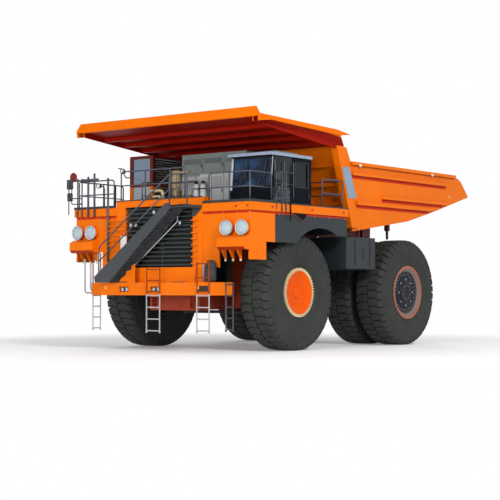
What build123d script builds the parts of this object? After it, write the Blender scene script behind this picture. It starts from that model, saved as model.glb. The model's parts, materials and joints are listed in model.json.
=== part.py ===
from build123d import *
import math
import os

# Rigid mining dump truck, about 180 t payload class. Millimetres, +X forward, +Y to the
# operator's left, +Z up. Every piece is drawn with the front axle above X = 0 and the
# ground at Z = 0; the last step slides the truck so that its origin is on the ground in
# the middle of its length.

# Whole truck
OVERALL_LENGTH = 13800
FRONT_OVERHANG = 3500
WHEELBASE = 5830
CLEAR = 0.3
ROW_SHIFT = OVERALL_LENGTH / 2 - FRONT_OVERHANG
TAIL_X = FRONT_OVERHANG - OVERALL_LENGTH
REAR_AXLE_X = -WHEELBASE

# Tyres and wheels; most round parts have flat sides, which keeps the model light
TYRE_R = 1750
TYRE_WIDTH = 1060
LUG_COUNT = 36
LUG_DEPTH = 85
LUG_SHARE = 0.58
LUG_TAPER = 0.84
TREAD_WIDTH = 820
TREAD_STEP = 20
SIDEWALL_R = 1430
TYRE_BORE_R = 745
WHEEL_SIDES = 18
PIN_SIDES = 12
RIM_INSET = 120
RIM_WALL = 60
FRONT_DISH = 120
REAR_DISH = 190
DISC_PLATE = 90
FRONT_HUB_R = 250
FRONT_HUB_OUT = 40
REAR_HUB_R = 560
REAR_HUB_OUT = 60
FRONT_WHEEL_Y = 2720
REAR_OUTER_Y = 2960
REAR_DUAL_GAP = 200
REAR_INNER_Y = REAR_OUTER_Y - TYRE_WIDTH - REAR_DUAL_GAP
AXLE_Z = TYRE_R

# Steering
KINGPIN_Y = 1950
KINGPIN_R = 190
POST_R = 160
STRUT_LOW = 2350
STRUT_HIGH = 3520
STEER_ARM = 750
STEER_ARM_Z = 1330
STEER_ARM_PLATE = 120
SPINDLE_R = 170
TIE_PIN_R = 45
TIE_EYE_R = 105
TIE_ROD_R = 55
TIE_ROD_Z = 1130
OPEN_EYE_PLAY = 6

# Frame rails and cross pieces
RAIL_Y = 620
RAIL_WIDTH = 300
RAIL_OUTER_Y = RAIL_Y + RAIL_WIDTH / 2
RAIL_INNER_Y = RAIL_Y - RAIL_WIDTH / 2
NOSE_X = 2050
NOSE_HALF = 1000
NOSE_DEPTH = 420
JACK_PAD = 20
TOW_Y = 760
TOW_Z = 1430
TOW_LUG = 80
TOW_REACH = 130
TOW_HOLE_R = 55
RAIL_LOW_Z = 1230
RAIL_FRONT_TOP_Z = 1900
RAIL_REAR_LOW_Z = 2640
RAIL_REAR_TOP_Z = 3060
COLLAR_TOP_Z = 3700
COLLAR_HALF_X = 200

# Rear axle and its struts
AXLE_CASE_R = 600
AXLE_CASE_GAP = 60
REAR_SPINDLE_R = 330
AXLE_PIN_X = -3280
AXLE_PIN_R = 90
AXLE_ARM_HALF = 200
STRUT_X = REAR_AXLE_X + 450
STRUT_Y = 300
STRUT_LOW_Z = 2330
STRUT_TOP_Z = 2890

# Engine and side tanks
ENGINE_X = (-1300, 1600)
ENGINE_Z = (1600, 3300)
TANK_X = (-3980, -2350)
TANK_Y = (1350, 3400)
TANK_Z = (2500, 3500)

# Decks
DECK_OVERHANG = 250
DECK_HALF = FRONT_WHEEL_Y + TYRE_WIDTH / 2 + DECK_OVERHANG
DECK_FRONT_X = 2800
DECK_REAR_X = -2180
DECK_TOP_Z = 4330
DECK_PLATE = 50
BAND_LOW_Z = 4110
BAND_LIP = 30
SHEET = 60
PANEL_SET = 20
PANEL_LOW_Z = 3000
SKIRT_LOW_Z = 2480
SHELF_WIDTH = 990
SHELF_TOP_Z = 3380
WING_BACK_X = 1600
WING_STEP_X = 2020
WING_STEP_Z = 3220
WING_LOW_Z = 2700
ARCH_X = -750
ARCH_R = 1960
ARCH_BACK_Z = 3490
ARCH_STEPS = 10
CENTRE_HALF = 1720
CENTRE_LIFT = 20
CENTRE_PLATE = 60
CENTRE_TOP_Z = DECK_TOP_Z + CENTRE_LIFT + CENTRE_PLATE
HOOD_TOP_Z = 4560
HOOD_BACK_X = 2350
HOOD_BEAM_Z = 4340
GRILLE_HALF = 1350
GRILLE_LOW_Z = 2500
LOUVRES = 14
LOUVRE_SET = 190
LOUVRE_DEPTH = 150
STEPS = 8
STEP_PITCH = 180
STEP_WIDTH = 200
STEP_OUT = 90
STEP_PLATE = 40
SLATS = 7
SLAT_PITCH = 150
SLAT_OUT = 55
SLAT_REACH = 330

# Bumper
BUMPER_X = 3150
BUMPER_DEPTH = 900
BUMPER_BEAM = 420
BUMPER_HALF = 2430
BUMPER_RETURN = 500
BUMPER_LOW_Z = 1670
BUMPER_TOP_Z = 2050
GUARD_TOP_Z = 2500
GUARD_PLATE = 70
SPOT_YS = (-1080, 190)
SPOT_Z = 1845
SPOT_R = 70
SPOT_POCKET = 90

# Cab, set in from the left edge of the deck
CAB_SETBACK = 200
CAB_GAP = 10
CAB_FRONT_X = 1520
CAB_BACK_X = -470
CAB_LEFT_Y = DECK_HALF - CAB_SETBACK
CAB_RIGHT_Y = CENTRE_HALF + CAB_GAP
CAB_TOP_Z = 5885
CAB_ROOF = 130
CAB_RAKE = 90
CAB_WAIST_Z = 4800
CAB_WALL = 60
WINDOW_LOW_Z = 4900
WINDOW_TOP_Z = 5740
SCREEN_EDGE = 90
SIDE_WINDOW_SET = 150
BACK_WINDOW_SET = 250
GLASS = 12
GLASS_SET = 40
DOOR_FRONT_X = 480
DOOR_BACK_X = -400
DOOR_LOW_Z = 4420
DOOR_TOP_Z = 5760
DOOR_FRAME = 110
DOOR_GAP = 8
HINGE_R = 22
HINGE_Y = CAB_LEFT_Y + HINGE_R + 6
HINGE_HEIGHTS = (4600, 5450)
HINGE_LENGTH = 120

# Deck equipment, placed outwards from the centre deck
CABINET_GAP = 400
CABINET_RIGHT_GAP = 420
CABINET_X = (-1600, 200)
CABINET_NOSE_X = 700
CABINET_STEP = 1150
CABINET_TOP_Z = 6150
CABINET_LOW_TOP_Z = 5480
CABINET_LEFT_Y = CAB_RIGHT_Y - CABINET_GAP
CABINET_RIGHT_Y = CABINET_RIGHT_GAP - CENTRE_HALF
NOSE_SIDE_Y = CABINET_RIGHT_Y + CABINET_STEP
BOX_EDGE = 330
BOX_X = (-1150, 650)
BOX_TOP_Z = 6180
BOX_MID_Z = 5180
BOX_POST = 120
BOX_SILL = 90
CLEANER_R = 190
CLEANER_GAP = 40
CLEANER_Y = -CENTRE_HALF - CLEANER_GAP - CLEANER_R
BOX_OUTER_Y = BOX_EDGE - DECK_HALF
BOX_INNER_Y = CLEANER_Y - CLEANER_R - 30
CLEANER_XS = (-800, -300)
CLEANER_TOP_Z = 5750
ACCUMULATOR_R = 100
ACCUMULATOR_HEIGHT = 820
ACCUMULATOR_PITCH = 270

# Grease tank on the bumper
GREASE_R = 165
GREASE_HEIGHT = 560

# Lamps
LAMP_R = 220
LAMP_DEPTH = 190
LAMP_Z = 3610
LAMP_PITCH = 570
LAMP_EDGE = 220
GRILLE_LAMPS = ((-990, 3800), (-50, 4160))
GRILLE_LAMP_R = 65

# Dump body
PIVOT_X = -7300
PIVOT_Z = 3000
PIVOT_R = 110
EAR_PLATE = 90
EAR_GAP = 10
EAR_REACH = EAR_PLATE + EAR_GAP + 30
BODY_HALF = 3300
SIDE_PLATE = 70
FLOOR_PLATE = 90
HEADBOARD_PLATE = 80
HEADBOARD_LEAN = 0.33
HEADBOARD_TOP_Z = 6330
TOP_RAIL_Z = 5900
RIB_OUT = 90
RIB_TALL = 110
BOLSTER_OUT = 110
BOLSTER_FRONT = 170
BOLSTER_BACK = 210
BOLSTER_WIDTH = 245
CANOPY_OVERHANG = 350
CANOPY_HALF = BODY_HALF + CANOPY_OVERHANG
CANOPY_FRONT_X = 2600
CANOPY_FRONT_Z = 6860
CANOPY_PLATE = 60
CANOPY_LIP = 230
CANOPY_LIP_SLOPE = 140
CANOPY_FLANGE = 40
CANOPY_BAND = 150
CANOPY_SKIRT = 130
CANOPY_TIP = (-2110, 6675)
BODY_RAIL_GAP = 8
BODY_RAIL_HALF = 110
EJECTOR_BACK = 500

# Hoist cylinders; the points are (x, z) of the foot and head pins with the body down
HOIST_Y = 965
HOIST_FOOT = (-4150, 1500)
HOIST_HEAD = (-4100, 3720)
HOIST_BARREL_R = 165
HOIST_STAGE_R = 135
HOIST_ROD_R = 105
HOIST_PIN_R = 60
HOIST_EYE_R = 110
HOIST_NECK_R = 50
HOIST_EYE_HALF = 55
HOIST_EAR = 45
HOIST_EAR_GAP = 10
HOIST_SIDES = 12

# Stair, rails and ladders
STAIR_FRONT_X = FRONT_OVERHANG
STAIR_WIDTH = 620
STAIR_FOOT = (-1950, BUMPER_TOP_Z)
STAIR_HEAD = (1000, 4300)
STAIR_BAND = 420
STAIR_TREADS = 9
STRINGER = 40
LANDING_END_Y = 1700
RAIL_HEIGHT = 900
RAIL_TUBE = 45
RAIL_INSET = SHEET + RAIL_TUBE / 2 + CLEAR
RAIL_BACK = 200
LADDER_STILE = 50
LADDER_RUNG_R = 18
RUNG_PITCH = 300
MIRROR_TOP_Z = 5330
MIRROR_OUT = 250
MIRROR_REACH = 330
MIRROR_TUCK = 20


def block(x0, x1, y0, y1, z0, z1):
    """A box between two corners."""
    return Solid.make_box(x1 - x0, y1 - y0, z1 - z0, Plane((x0, y0, z0)))


def side_cut(points, y0, y1):
    """A plate drawn from the side: (x, z) points carried from y0 to y1."""
    face = Face(Wire.make_polygon([Vector(x, y0, z) for x, z in points], close=True))
    return Solid.extrude(face, Vector(0, y1 - y0, 0))


def front_cut(points, x0, x1):
    """A plate drawn from the front: (y, z) points carried from x0 to x1."""
    face = Face(Wire.make_polygon([Vector(x0, y, z) for y, z in points], close=True))
    return Solid.extrude(face, Vector(x1 - x0, 0, 0))


def plan_cut(points, z0, z1):
    """A plate drawn from above: (x, y) points carried from z0 to z1."""
    face = Face(Wire.make_polygon([Vector(x, y, z0) for x, y in points], close=True))
    return Solid.extrude(face, Vector(0, 0, z1 - z0))


def rod(start, end, radius):
    """A round bar from one point to another."""
    start, end = Vector(*start), Vector(*end)
    run = end - start
    return Solid.make_cylinder(radius, run.length, Plane(origin=start, z_dir=run))


def bar(start, end, radius, sides=6, shift=0.5):
    """A straight bar with a many-sided section, its corners turned by a share of one side."""
    start, end = Vector(*start), Vector(*end)
    run = end - start
    plane = Plane(origin=start, z_dir=run)
    turn = 2 * math.pi / sides
    angles = [turn * (i + shift) for i in range(sides)]
    corners = [
        start + plane.x_dir * (radius * math.cos(a)) + plane.y_dir * (radius * math.sin(a)) for a in angles
    ]
    return Solid.extrude(Face(Wire.make_polygon(corners, close=True)), run)


def bore(start, end, pin_radius, sides, play=CLEAR):
    """The cutter for a hole round a many-sided pin: its flats stand clear of the pin's corners."""
    return bar(start, end, (pin_radius + play) / math.cos(math.pi / sides), sides, 0)


def tube(start, end):
    """A length of square rail tube."""
    return bar(start, end, RAIL_TUBE / math.sqrt(2), 4)


def drum(centre, radius, y0, y1, sides=WHEEL_SIDES, end_radius=None):
    """A many-sided disc round a line along Y, straight, or tapered where an end radius is given."""
    x, z = centre
    turn = 2 * math.pi / sides

    def ring(r, y):
        return [Vector(x + r * math.sin(turn * i), y, z + r * math.cos(turn * i)) for i in range(sides)]

    if end_radius is None:
        return Solid.extrude(Face(Wire.make_polygon(ring(radius, y0), close=True)), Vector(0, y1 - y0, 0))
    low, high = ring(radius, y0), ring(end_radius, y1)
    walls = [
        Face(Wire.make_polygon([low[i], low[(i + 1) % sides], high[(i + 1) % sides], high[i]], close=True))
        for i in range(sides)
    ]
    ends = [Face(Wire.make_polygon(points, close=True)) for points in (low, high)]
    return Solid(Shell([*walls, *ends]))


def fused(*shapes):
    """The shapes joined into as few solids as they make."""
    first, *rest = [s for shape in shapes for s in shape.solids()]
    return Compound(first.fuse(*rest).solids()) if rest else first


def less(shape, *tools):
    """The shape with the tools cut away."""
    return Compound(shape.cut(*[s for tool in tools for s in tool.solids()]).solids())


def mirrored(shape):
    """The same piece on the other side of the truck."""
    return shape.mirror(Plane.XZ)


def both_sides(*shapes):
    """The pieces and their mirror images in one group."""
    solids = [s for shape in shapes for s in shape.solids()]
    return Compound(solids + [mirrored(s) for s in solids])


def group(*shapes):
    """Separate solids in one group."""
    return Compound([s for shape in shapes for s in shape.solids()])


# Wheels


def lugged_tyre(y_mid, x=0):
    """A tyre round its axle: tread bars, tapered shoulders, flat sidewalls and an open bead."""
    step = 2 * math.pi / LUG_COUNT
    root_r = TYRE_R - LUG_DEPTH
    half_root = step * LUG_SHARE / 2
    half_tip = half_root * LUG_TAPER
    tip_r = TYRE_R / math.cos(half_tip)
    corners = ((-half_root, root_r), (-half_tip, tip_r), (half_tip, tip_r), (half_root, root_r))
    outline = [
        (x + r * math.sin(i * step + a), AXLE_Z + r * math.cos(i * step + a))
        for i in range(LUG_COUNT)
        for a, r in corners
    ]
    middle = (x, AXLE_Z)
    y_tread, y_side = TREAD_WIDTH / 2, TYRE_WIDTH / 2
    tread = side_cut(outline, y_mid - y_tread, y_mid + y_tread)
    edge_r = root_r - TREAD_STEP
    shoulders = [
        drum(middle, edge_r, y_mid + s * y_tread, y_mid + s * y_side, end_radius=SIDEWALL_R) for s in (-1, 1)
    ]
    hollow = drum(middle, TYRE_BORE_R, y_mid - TYRE_WIDTH, y_mid + TYRE_WIDTH)
    return less(fused(tread, *shoulders), hollow)


def wheel_centre(x, in_y, out_y, dish, hub_r, hub_out, spindle_r):
    """A rim with its disc and hub: the seat for the bead, a tapered dish outside, a hollow
    inside, and the bore that runs on the spindle."""
    middle = (x, AXLE_Z)
    seat_r = TYRE_BORE_R - CLEAR
    disc_y = out_y - dish
    hub_end = disc_y + hub_out
    seat = drum(middle, seat_r, in_y, out_y)
    dish_hollow = drum(middle, seat_r - RIM_WALL, out_y, disc_y, end_radius=seat_r - 2.5 * RIM_WALL)
    back_hollow = drum(middle, seat_r - RIM_WALL, in_y, disc_y - DISC_PLATE)
    hub = drum(middle, hub_r, in_y, hub_end)
    hole = bore((x, in_y - 1, AXLE_Z), (x, hub_end + 1, AXLE_Z), spindle_r, WHEEL_SIDES)
    return less(fused(less(seat, dish_hollow, back_hollow), hub), hole)


def front_wheel_pieces():
    """The left front tyre, its rim and hub."""
    reach = TYRE_WIDTH / 2 - RIM_INSET
    tyre = lugged_tyre(FRONT_WHEEL_Y)
    in_y, out_y = FRONT_WHEEL_Y - reach, FRONT_WHEEL_Y + reach
    rim = wheel_centre(0, in_y, out_y, FRONT_DISH, FRONT_HUB_R, FRONT_HUB_OUT, SPINDLE_R)
    return tyre, rim


def rear_wheel_pieces():
    """The left pair of rear tyres and the one long rim and hub that carries both."""
    reach = TYRE_WIDTH / 2 - RIM_INSET
    tyres = group(lugged_tyre(REAR_OUTER_Y, REAR_AXLE_X), lugged_tyre(REAR_INNER_Y, REAR_AXLE_X))
    in_y, out_y = REAR_INNER_Y - reach, REAR_OUTER_Y + reach
    rims = wheel_centre(REAR_AXLE_X, in_y, out_y, REAR_DISH, REAR_HUB_R, REAR_HUB_OUT, REAR_SPINDLE_R)
    return tyres, rims


def knuckle():
    """The left steering knuckle: strut rod, spindle into the hub and the arm for the tie rod."""
    post = bar((0, KINGPIN_Y, STEER_ARM_Z - 120), (0, KINGPIN_Y, STRUT_LOW - CLEAR), POST_R, 12)
    carrier = block(-190, 190, KINGPIN_Y - 150, KINGPIN_Y + 170, AXLE_Z - 280, AXLE_Z + 280)
    disc_y = FRONT_WHEEL_Y + TYRE_WIDTH / 2 - RIM_INSET - FRONT_DISH
    spindle_y = disc_y + FRONT_HUB_OUT + 20
    spindle = bar((0, KINGPIN_Y, AXLE_Z), (0, spindle_y, AXLE_Z), SPINDLE_R, WHEEL_SIDES)
    arm_end = -STEER_ARM - 90
    arm = plan_cut(
        [(0, KINGPIN_Y - 150), (0, KINGPIN_Y + 130), (arm_end, KINGPIN_Y + 80), (arm_end, KINGPIN_Y - 80)],
        STEER_ARM_Z - STEER_ARM_PLATE / 2,
        STEER_ARM_Z + STEER_ARM_PLATE / 2,
    )
    pin_low = (-STEER_ARM, KINGPIN_Y, TIE_ROD_Z - 90)
    pin = bar(pin_low, (-STEER_ARM, KINGPIN_Y, STEER_ARM_Z), TIE_PIN_R, 12)
    return fused(post, carrier, spindle, arm, pin)


def tie_rod():
    """The bar between the two steering arms; its left eye turns on the pin, its right eye is open."""
    link = bar((-STEER_ARM, -KINGPIN_Y, TIE_ROD_Z), (-STEER_ARM, KINGPIN_Y, TIE_ROD_Z), TIE_ROD_R, 8)
    half = 70
    low_z, high_z = TIE_ROD_Z - half, TIE_ROD_Z + half
    eyes, holes = [], []
    for y, play in ((KINGPIN_Y, CLEAR), (-KINGPIN_Y, OPEN_EYE_PLAY)):
        eyes.append(bar((-STEER_ARM, y, low_z), (-STEER_ARM, y, high_z), TIE_EYE_R, 12))
        holes.append(bore((-STEER_ARM, y, low_z - 20), (-STEER_ARM, y, high_z + 20), TIE_PIN_R, 12, play))
    return less(fused(link, *eyes), *holes)


# Frame and running gear


def rail_outline():
    """The side view of one frame rail, low at the nose and kicked up over the rear axle."""
    return [
        (NOSE_X, RAIL_LOW_Z),
        (NOSE_X, RAIL_FRONT_TOP_Z),
        (-900, RAIL_FRONT_TOP_Z),
        (-2300, RAIL_REAR_TOP_Z),
        (PIVOT_X + 250, RAIL_REAR_TOP_Z),
        (PIVOT_X - 160, PIVOT_Z + 140),
        (PIVOT_X - 160, PIVOT_Z - 180),
        (PIVOT_X + 250, RAIL_REAR_LOW_Z),
        (-5200, RAIL_REAR_LOW_Z),
        (-4700, 2200),
        (-2600, 2150),
        (-1300, RAIL_LOW_Z),
    ]


def strut_tower():
    """The left arm of the front collar, with the seat of its suspension strut."""
    tower = front_cut(
        [
            (RAIL_OUTER_Y - 40, RAIL_LOW_Z + 60),
            (RAIL_OUTER_Y - 40, COLLAR_TOP_Z),
            (KINGPIN_Y - 450, COLLAR_TOP_Z),
            (KINGPIN_Y + 30, STRUT_HIGH - 100),
            (KINGPIN_Y + 30, STRUT_LOW + 600),
            (1300, STRUT_LOW - 50),
            (1050, RAIL_LOW_Z + 60),
        ],
        -COLLAR_HALF_X,
        COLLAR_HALF_X,
    )
    seat = bar((0, KINGPIN_Y, STRUT_LOW - 50), (0, KINGPIN_Y, STRUT_HIGH + 80), KINGPIN_R + CLEAR, 12)
    return less(tower, seat)


def hoist_foot():
    """The hanger and pin that hold the left hoist's foot below the rail."""
    x, z = HOIST_FOOT
    face_y = RAIL_OUTER_Y - 30
    top_z, low_z = 2300, z - 120
    outline = [(x - 260, top_z), (x + 260, top_z), (x + 130, low_z), (x - 130, low_z)]
    hanger = side_cut(outline, face_y - 90, face_y)
    boss = bar((x, face_y, z), (x, RAIL_OUTER_Y + 20, z), 180, 12)
    pin = bar((x, RAIL_OUTER_Y, z), (x, HOIST_Y + 110, z), HOIST_PIN_R, 12)
    return fused(hanger, boss, pin)


def tow_lug():
    """The left towing eye on the nose."""
    hole_x = NOSE_X + TOW_REACH
    y0, y1 = TOW_Y - TOW_LUG / 2, TOW_Y + TOW_LUG / 2
    lug = block(NOSE_X - 100, hole_x + 100, y0, y1, RAIL_LOW_Z + 40, BUMPER_LOW_Z - 60)
    return less(lug, rod((hole_x, TOW_Y - 100, TOW_Z), (hole_x, TOW_Y + 100, TOW_Z), TOW_HOLE_R))


def axle_cheek():
    """The left cheek that hangs from the rail and holds the rear axle's nose pin."""
    cheek = side_cut(
        [
            (AXLE_PIN_X + 220, 2430),
            (AXLE_PIN_X + 540, 2430),
            (AXLE_PIN_X + 460, AXLE_Z - 250),
            (AXLE_PIN_X - 200, AXLE_Z - 250),
            (AXLE_PIN_X - 200, AXLE_Z + 200),
        ],
        AXLE_ARM_HALF + 60,
        RAIL_INNER_Y - 140,
    )
    return less(cheek, bore((AXLE_PIN_X, 0, AXLE_Z), (AXLE_PIN_X, RAIL_Y, AXLE_Z), AXLE_PIN_R, 12))


def main_frame():
    """Two box rails with nose box, front collar, cross tubes, hoist feet, axle cheeks and tip pins."""
    rail = side_cut(rail_outline(), RAIL_INNER_Y, RAIL_OUTER_Y)
    pin_y = (RAIL_INNER_Y - EAR_REACH, RAIL_OUTER_Y + EAR_REACH)
    tip_pin = bar((PIVOT_X, pin_y[0], PIVOT_Z), (PIVOT_X, pin_y[1], PIVOT_Z), PIVOT_R, PIN_SIDES)
    half = [rail, tip_pin, strut_tower(), hoist_foot(), tow_lug(), axle_cheek()]
    nose_low = RAIL_LOW_Z - JACK_PAD
    nose = block(NOSE_X - NOSE_DEPTH, NOSE_X, -NOSE_HALF, NOSE_HALF, nose_low, BUMPER_LOW_Z - CLEAR)
    collar = COLLAR_HALF_X
    lintel = block(-collar, collar, -RAIL_OUTER_Y, RAIL_OUTER_Y, COLLAR_TOP_Z - 350, COLLAR_TOP_Z)
    strut_beam = block(STRUT_X - 150, STRUT_X + 150, -RAIL_Y, RAIL_Y, STRUT_TOP_Z, RAIL_REAR_TOP_Z)
    # columns: x, z, radius of each cross tube
    tubes = ((-2900, 2600, 210), (-4600, 2700, 190), (PIVOT_X + 800, 2850, 170))
    crosses = [bar((x, -RAIL_Y, z), (x, RAIL_Y, z), r, 12) for x, z, r in tubes]
    return fused(*half, *[mirrored(h) for h in half], nose, lintel, strut_beam, *crosses)


def suspension_struts():
    """The four suspension struts: the upper barrels in the collar's arms and the rear pair."""
    front = bar((0, KINGPIN_Y, STRUT_LOW), (0, KINGPIN_Y, STRUT_HIGH), KINGPIN_R, 12)
    x, y = STRUT_X, STRUT_Y
    rear = fused(
        bar((x, y, STRUT_LOW_Z + CLEAR), (x, y, 2600), 110, 12),
        bar((x, y, 2450), (x, y, STRUT_TOP_Z - CLEAR), 145, 12),
    )
    return both_sides(front, rear)


def rear_axle():
    """The rear axle case with its wheel spindles, strut lugs and the long arm to its nose pin."""
    case_half = REAR_INNER_Y - TYRE_WIDTH / 2 - AXLE_CASE_GAP
    case = drum((REAR_AXLE_X, AXLE_Z), AXLE_CASE_R, -case_half, case_half)
    reach = REAR_OUTER_Y + TYRE_WIDTH / 2 - RIM_INSET - REAR_DISH + REAR_HUB_OUT - 10
    ends = [(REAR_AXLE_X, y, AXLE_Z) for y in (-reach, reach)]
    spindle = bar(*ends, REAR_SPINDLE_R, WHEEL_SIDES)
    arm = plan_cut(
        [(REAR_AXLE_X, -520), (REAR_AXLE_X, 520), (AXLE_PIN_X, AXLE_ARM_HALF), (AXLE_PIN_X, -AXLE_ARM_HALF)],
        AXLE_Z - 210,
        AXLE_Z + 210,
    )
    lug = block(STRUT_X - 130, STRUT_X + 130, STRUT_Y - 140, STRUT_Y + 140, 2000, STRUT_LOW_Z)
    eye = bar((AXLE_PIN_X, -AXLE_ARM_HALF - 40, AXLE_Z), (AXLE_PIN_X, AXLE_ARM_HALF + 40, AXLE_Z), 215, 12)
    pin_y = RAIL_INNER_Y - 130
    pin = bar((AXLE_PIN_X, -pin_y, AXLE_Z), (AXLE_PIN_X, pin_y, AXLE_Z), AXLE_PIN_R, 12)
    return fused(case, spindle, arm, eye, pin, lug, mirrored(lug))


def engine_block():
    """The engine and its alternator as one plain block between the front rails."""
    half = RAIL_INNER_Y - CLEAR
    return block(*ENGINE_X, -half, half, *ENGINE_Z)


def tank(edge):
    """A side tank between the wheels, its outer corners cut off by the given edge, on two straps."""
    (back_x, front_x), (low_z, top_z) = TANK_X, TANK_Z
    inner_y, outer_y = TANK_Y
    body = plan_cut(
        [
            (front_x, inner_y),
            (front_x, outer_y - edge),
            (front_x - edge, outer_y),
            (back_x + edge, outer_y),
            (back_x, outer_y - edge),
            (back_x, inner_y),
        ],
        low_z,
        top_z,
    )
    strap_xs = (front_x - 550, back_x + 280)
    straps = [block(x - 60, x + 60, RAIL_OUTER_Y, inner_y, low_z + 60, low_z + 460) for x in strap_xs]
    return fused(body, *straps)


# Front end


def bumper():
    """The front bumper: main beam with end returns, the raised guard in the middle and recesses."""
    inner_x, beam_x = BUMPER_X - BUMPER_DEPTH, BUMPER_X - BUMPER_BEAM
    end_y, turn_y = BUMPER_HALF, BUMPER_HALF - BUMPER_RETURN
    beam = plan_cut(
        [
            (BUMPER_X, -end_y),
            (BUMPER_X, end_y),
            (inner_x, end_y),
            (inner_x, turn_y),
            (beam_x, turn_y - 200),
            (beam_x, -turn_y + 200),
            (inner_x, -turn_y),
            (inner_x, -end_y),
        ],
        BUMPER_LOW_Z,
        BUMPER_TOP_Z,
    )
    guard = front_cut(
        [
            (-1650, BUMPER_TOP_Z),
            (-1650, 2200),
            (-GRILLE_HALF, GUARD_TOP_Z),
            (1500, GUARD_TOP_Z),
            (1500, BUMPER_TOP_Z),
        ],
        DECK_FRONT_X + CLEAR,
        DECK_FRONT_X + GUARD_PLATE,
    )
    pocket_x = (BUMPER_X - SPOT_POCKET, BUMPER_X + 10)
    pockets = [block(*pocket_x, y - 190, y + 190, SPOT_Z - 85, SPOT_Z + 85) for y in SPOT_YS]
    slot = block(BUMPER_X - 300, BUMPER_X + 10, end_y - 600, end_y - 200, SPOT_Z - 60, SPOT_Z + 100)
    leg = block(NOSE_X, beam_x, RAIL_INNER_Y, RAIL_OUTER_Y, BUMPER_LOW_Z, BUMPER_TOP_Z)
    return less(fused(beam, guard, leg, mirrored(leg)), *pockets, slot)


def radiator_core():
    """The dark radiator block behind the grille."""
    return block(HOOD_BACK_X - 200, HOOD_BACK_X + 210, -1320, 1320, BUMPER_TOP_Z, HOOD_BEAM_Z - 10)


def grille():
    """Level louvres across the radiator opening, joined by three uprights behind them."""
    back_x = DECK_FRONT_X - LOUVRE_SET
    end_y = GRILLE_HALF - CLEAR
    low_z, top_z = GRILLE_LOW_Z + 60, HOOD_BEAM_Z - 80
    slats = []
    for i in range(LOUVRES):
        z = low_z + i * (top_z - low_z) / (LOUVRES - 1)
        front_x = back_x + LOUVRE_DEPTH
        section = [(back_x, z), (back_x, z + 70), (front_x, z + 14), (front_x - 10, z - 8)]
        slats.append(side_cut(section, -end_y, end_y))
    half = 35
    uprights = [
        block(back_x - 40, back_x, y - half, y + half, GRILLE_LOW_Z, HOOD_BEAM_Z - CLEAR)
        for y in (-end_y + half, 0, end_y - half)
    ]
    return group(*uprights, *slats)


def radiator_frame():
    """The surround of the grille: two posts and the hood beam across their tops, a column of step
    plates on the left post and a bank of sloped slats on the right one."""
    face_x = DECK_FRONT_X
    post = block(HOOD_BACK_X, face_x, GRILLE_HALF, CENTRE_HALF, BUMPER_TOP_Z, HOOD_TOP_Z)
    beam = block(HOOD_BACK_X, face_x, -GRILLE_HALF, GRILLE_HALF, HOOD_BEAM_Z, HOOD_TOP_Z)
    step_ys = (GRILLE_HALF + 10, GRILLE_HALF + 10 + STEP_WIDTH)
    step_zs = [GUARD_TOP_Z + 90 + STEP_PITCH * i for i in range(STEPS)]
    steps = [block(face_x, face_x + STEP_OUT, *step_ys, z, z + STEP_PLATE) for z in step_zs]
    slat_ys = (-CENTRE_HALF - SLAT_REACH, -GRILLE_HALF - 50)
    slats = []
    for i in range(SLATS):
        z = PANEL_LOW_Z + 20 + SLAT_PITCH * i
        section = [(face_x, z + 60), (face_x + SLAT_OUT, z + 16), (face_x + SLAT_OUT, z), (face_x, z + 44)]
        slats.append(side_cut([(x + CLEAR, z) for x, z in section], *slat_ys))
    seat_ys = (-GRILLE_HALF - 100, -GRILLE_HALF - 60)
    seat = block(face_x - 10, face_x + 12, *seat_ys, PANEL_LOW_Z, BAND_LOW_Z - 30)
    return fused(post, mirrored(post), beam, *steps, seat, *slats)


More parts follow.
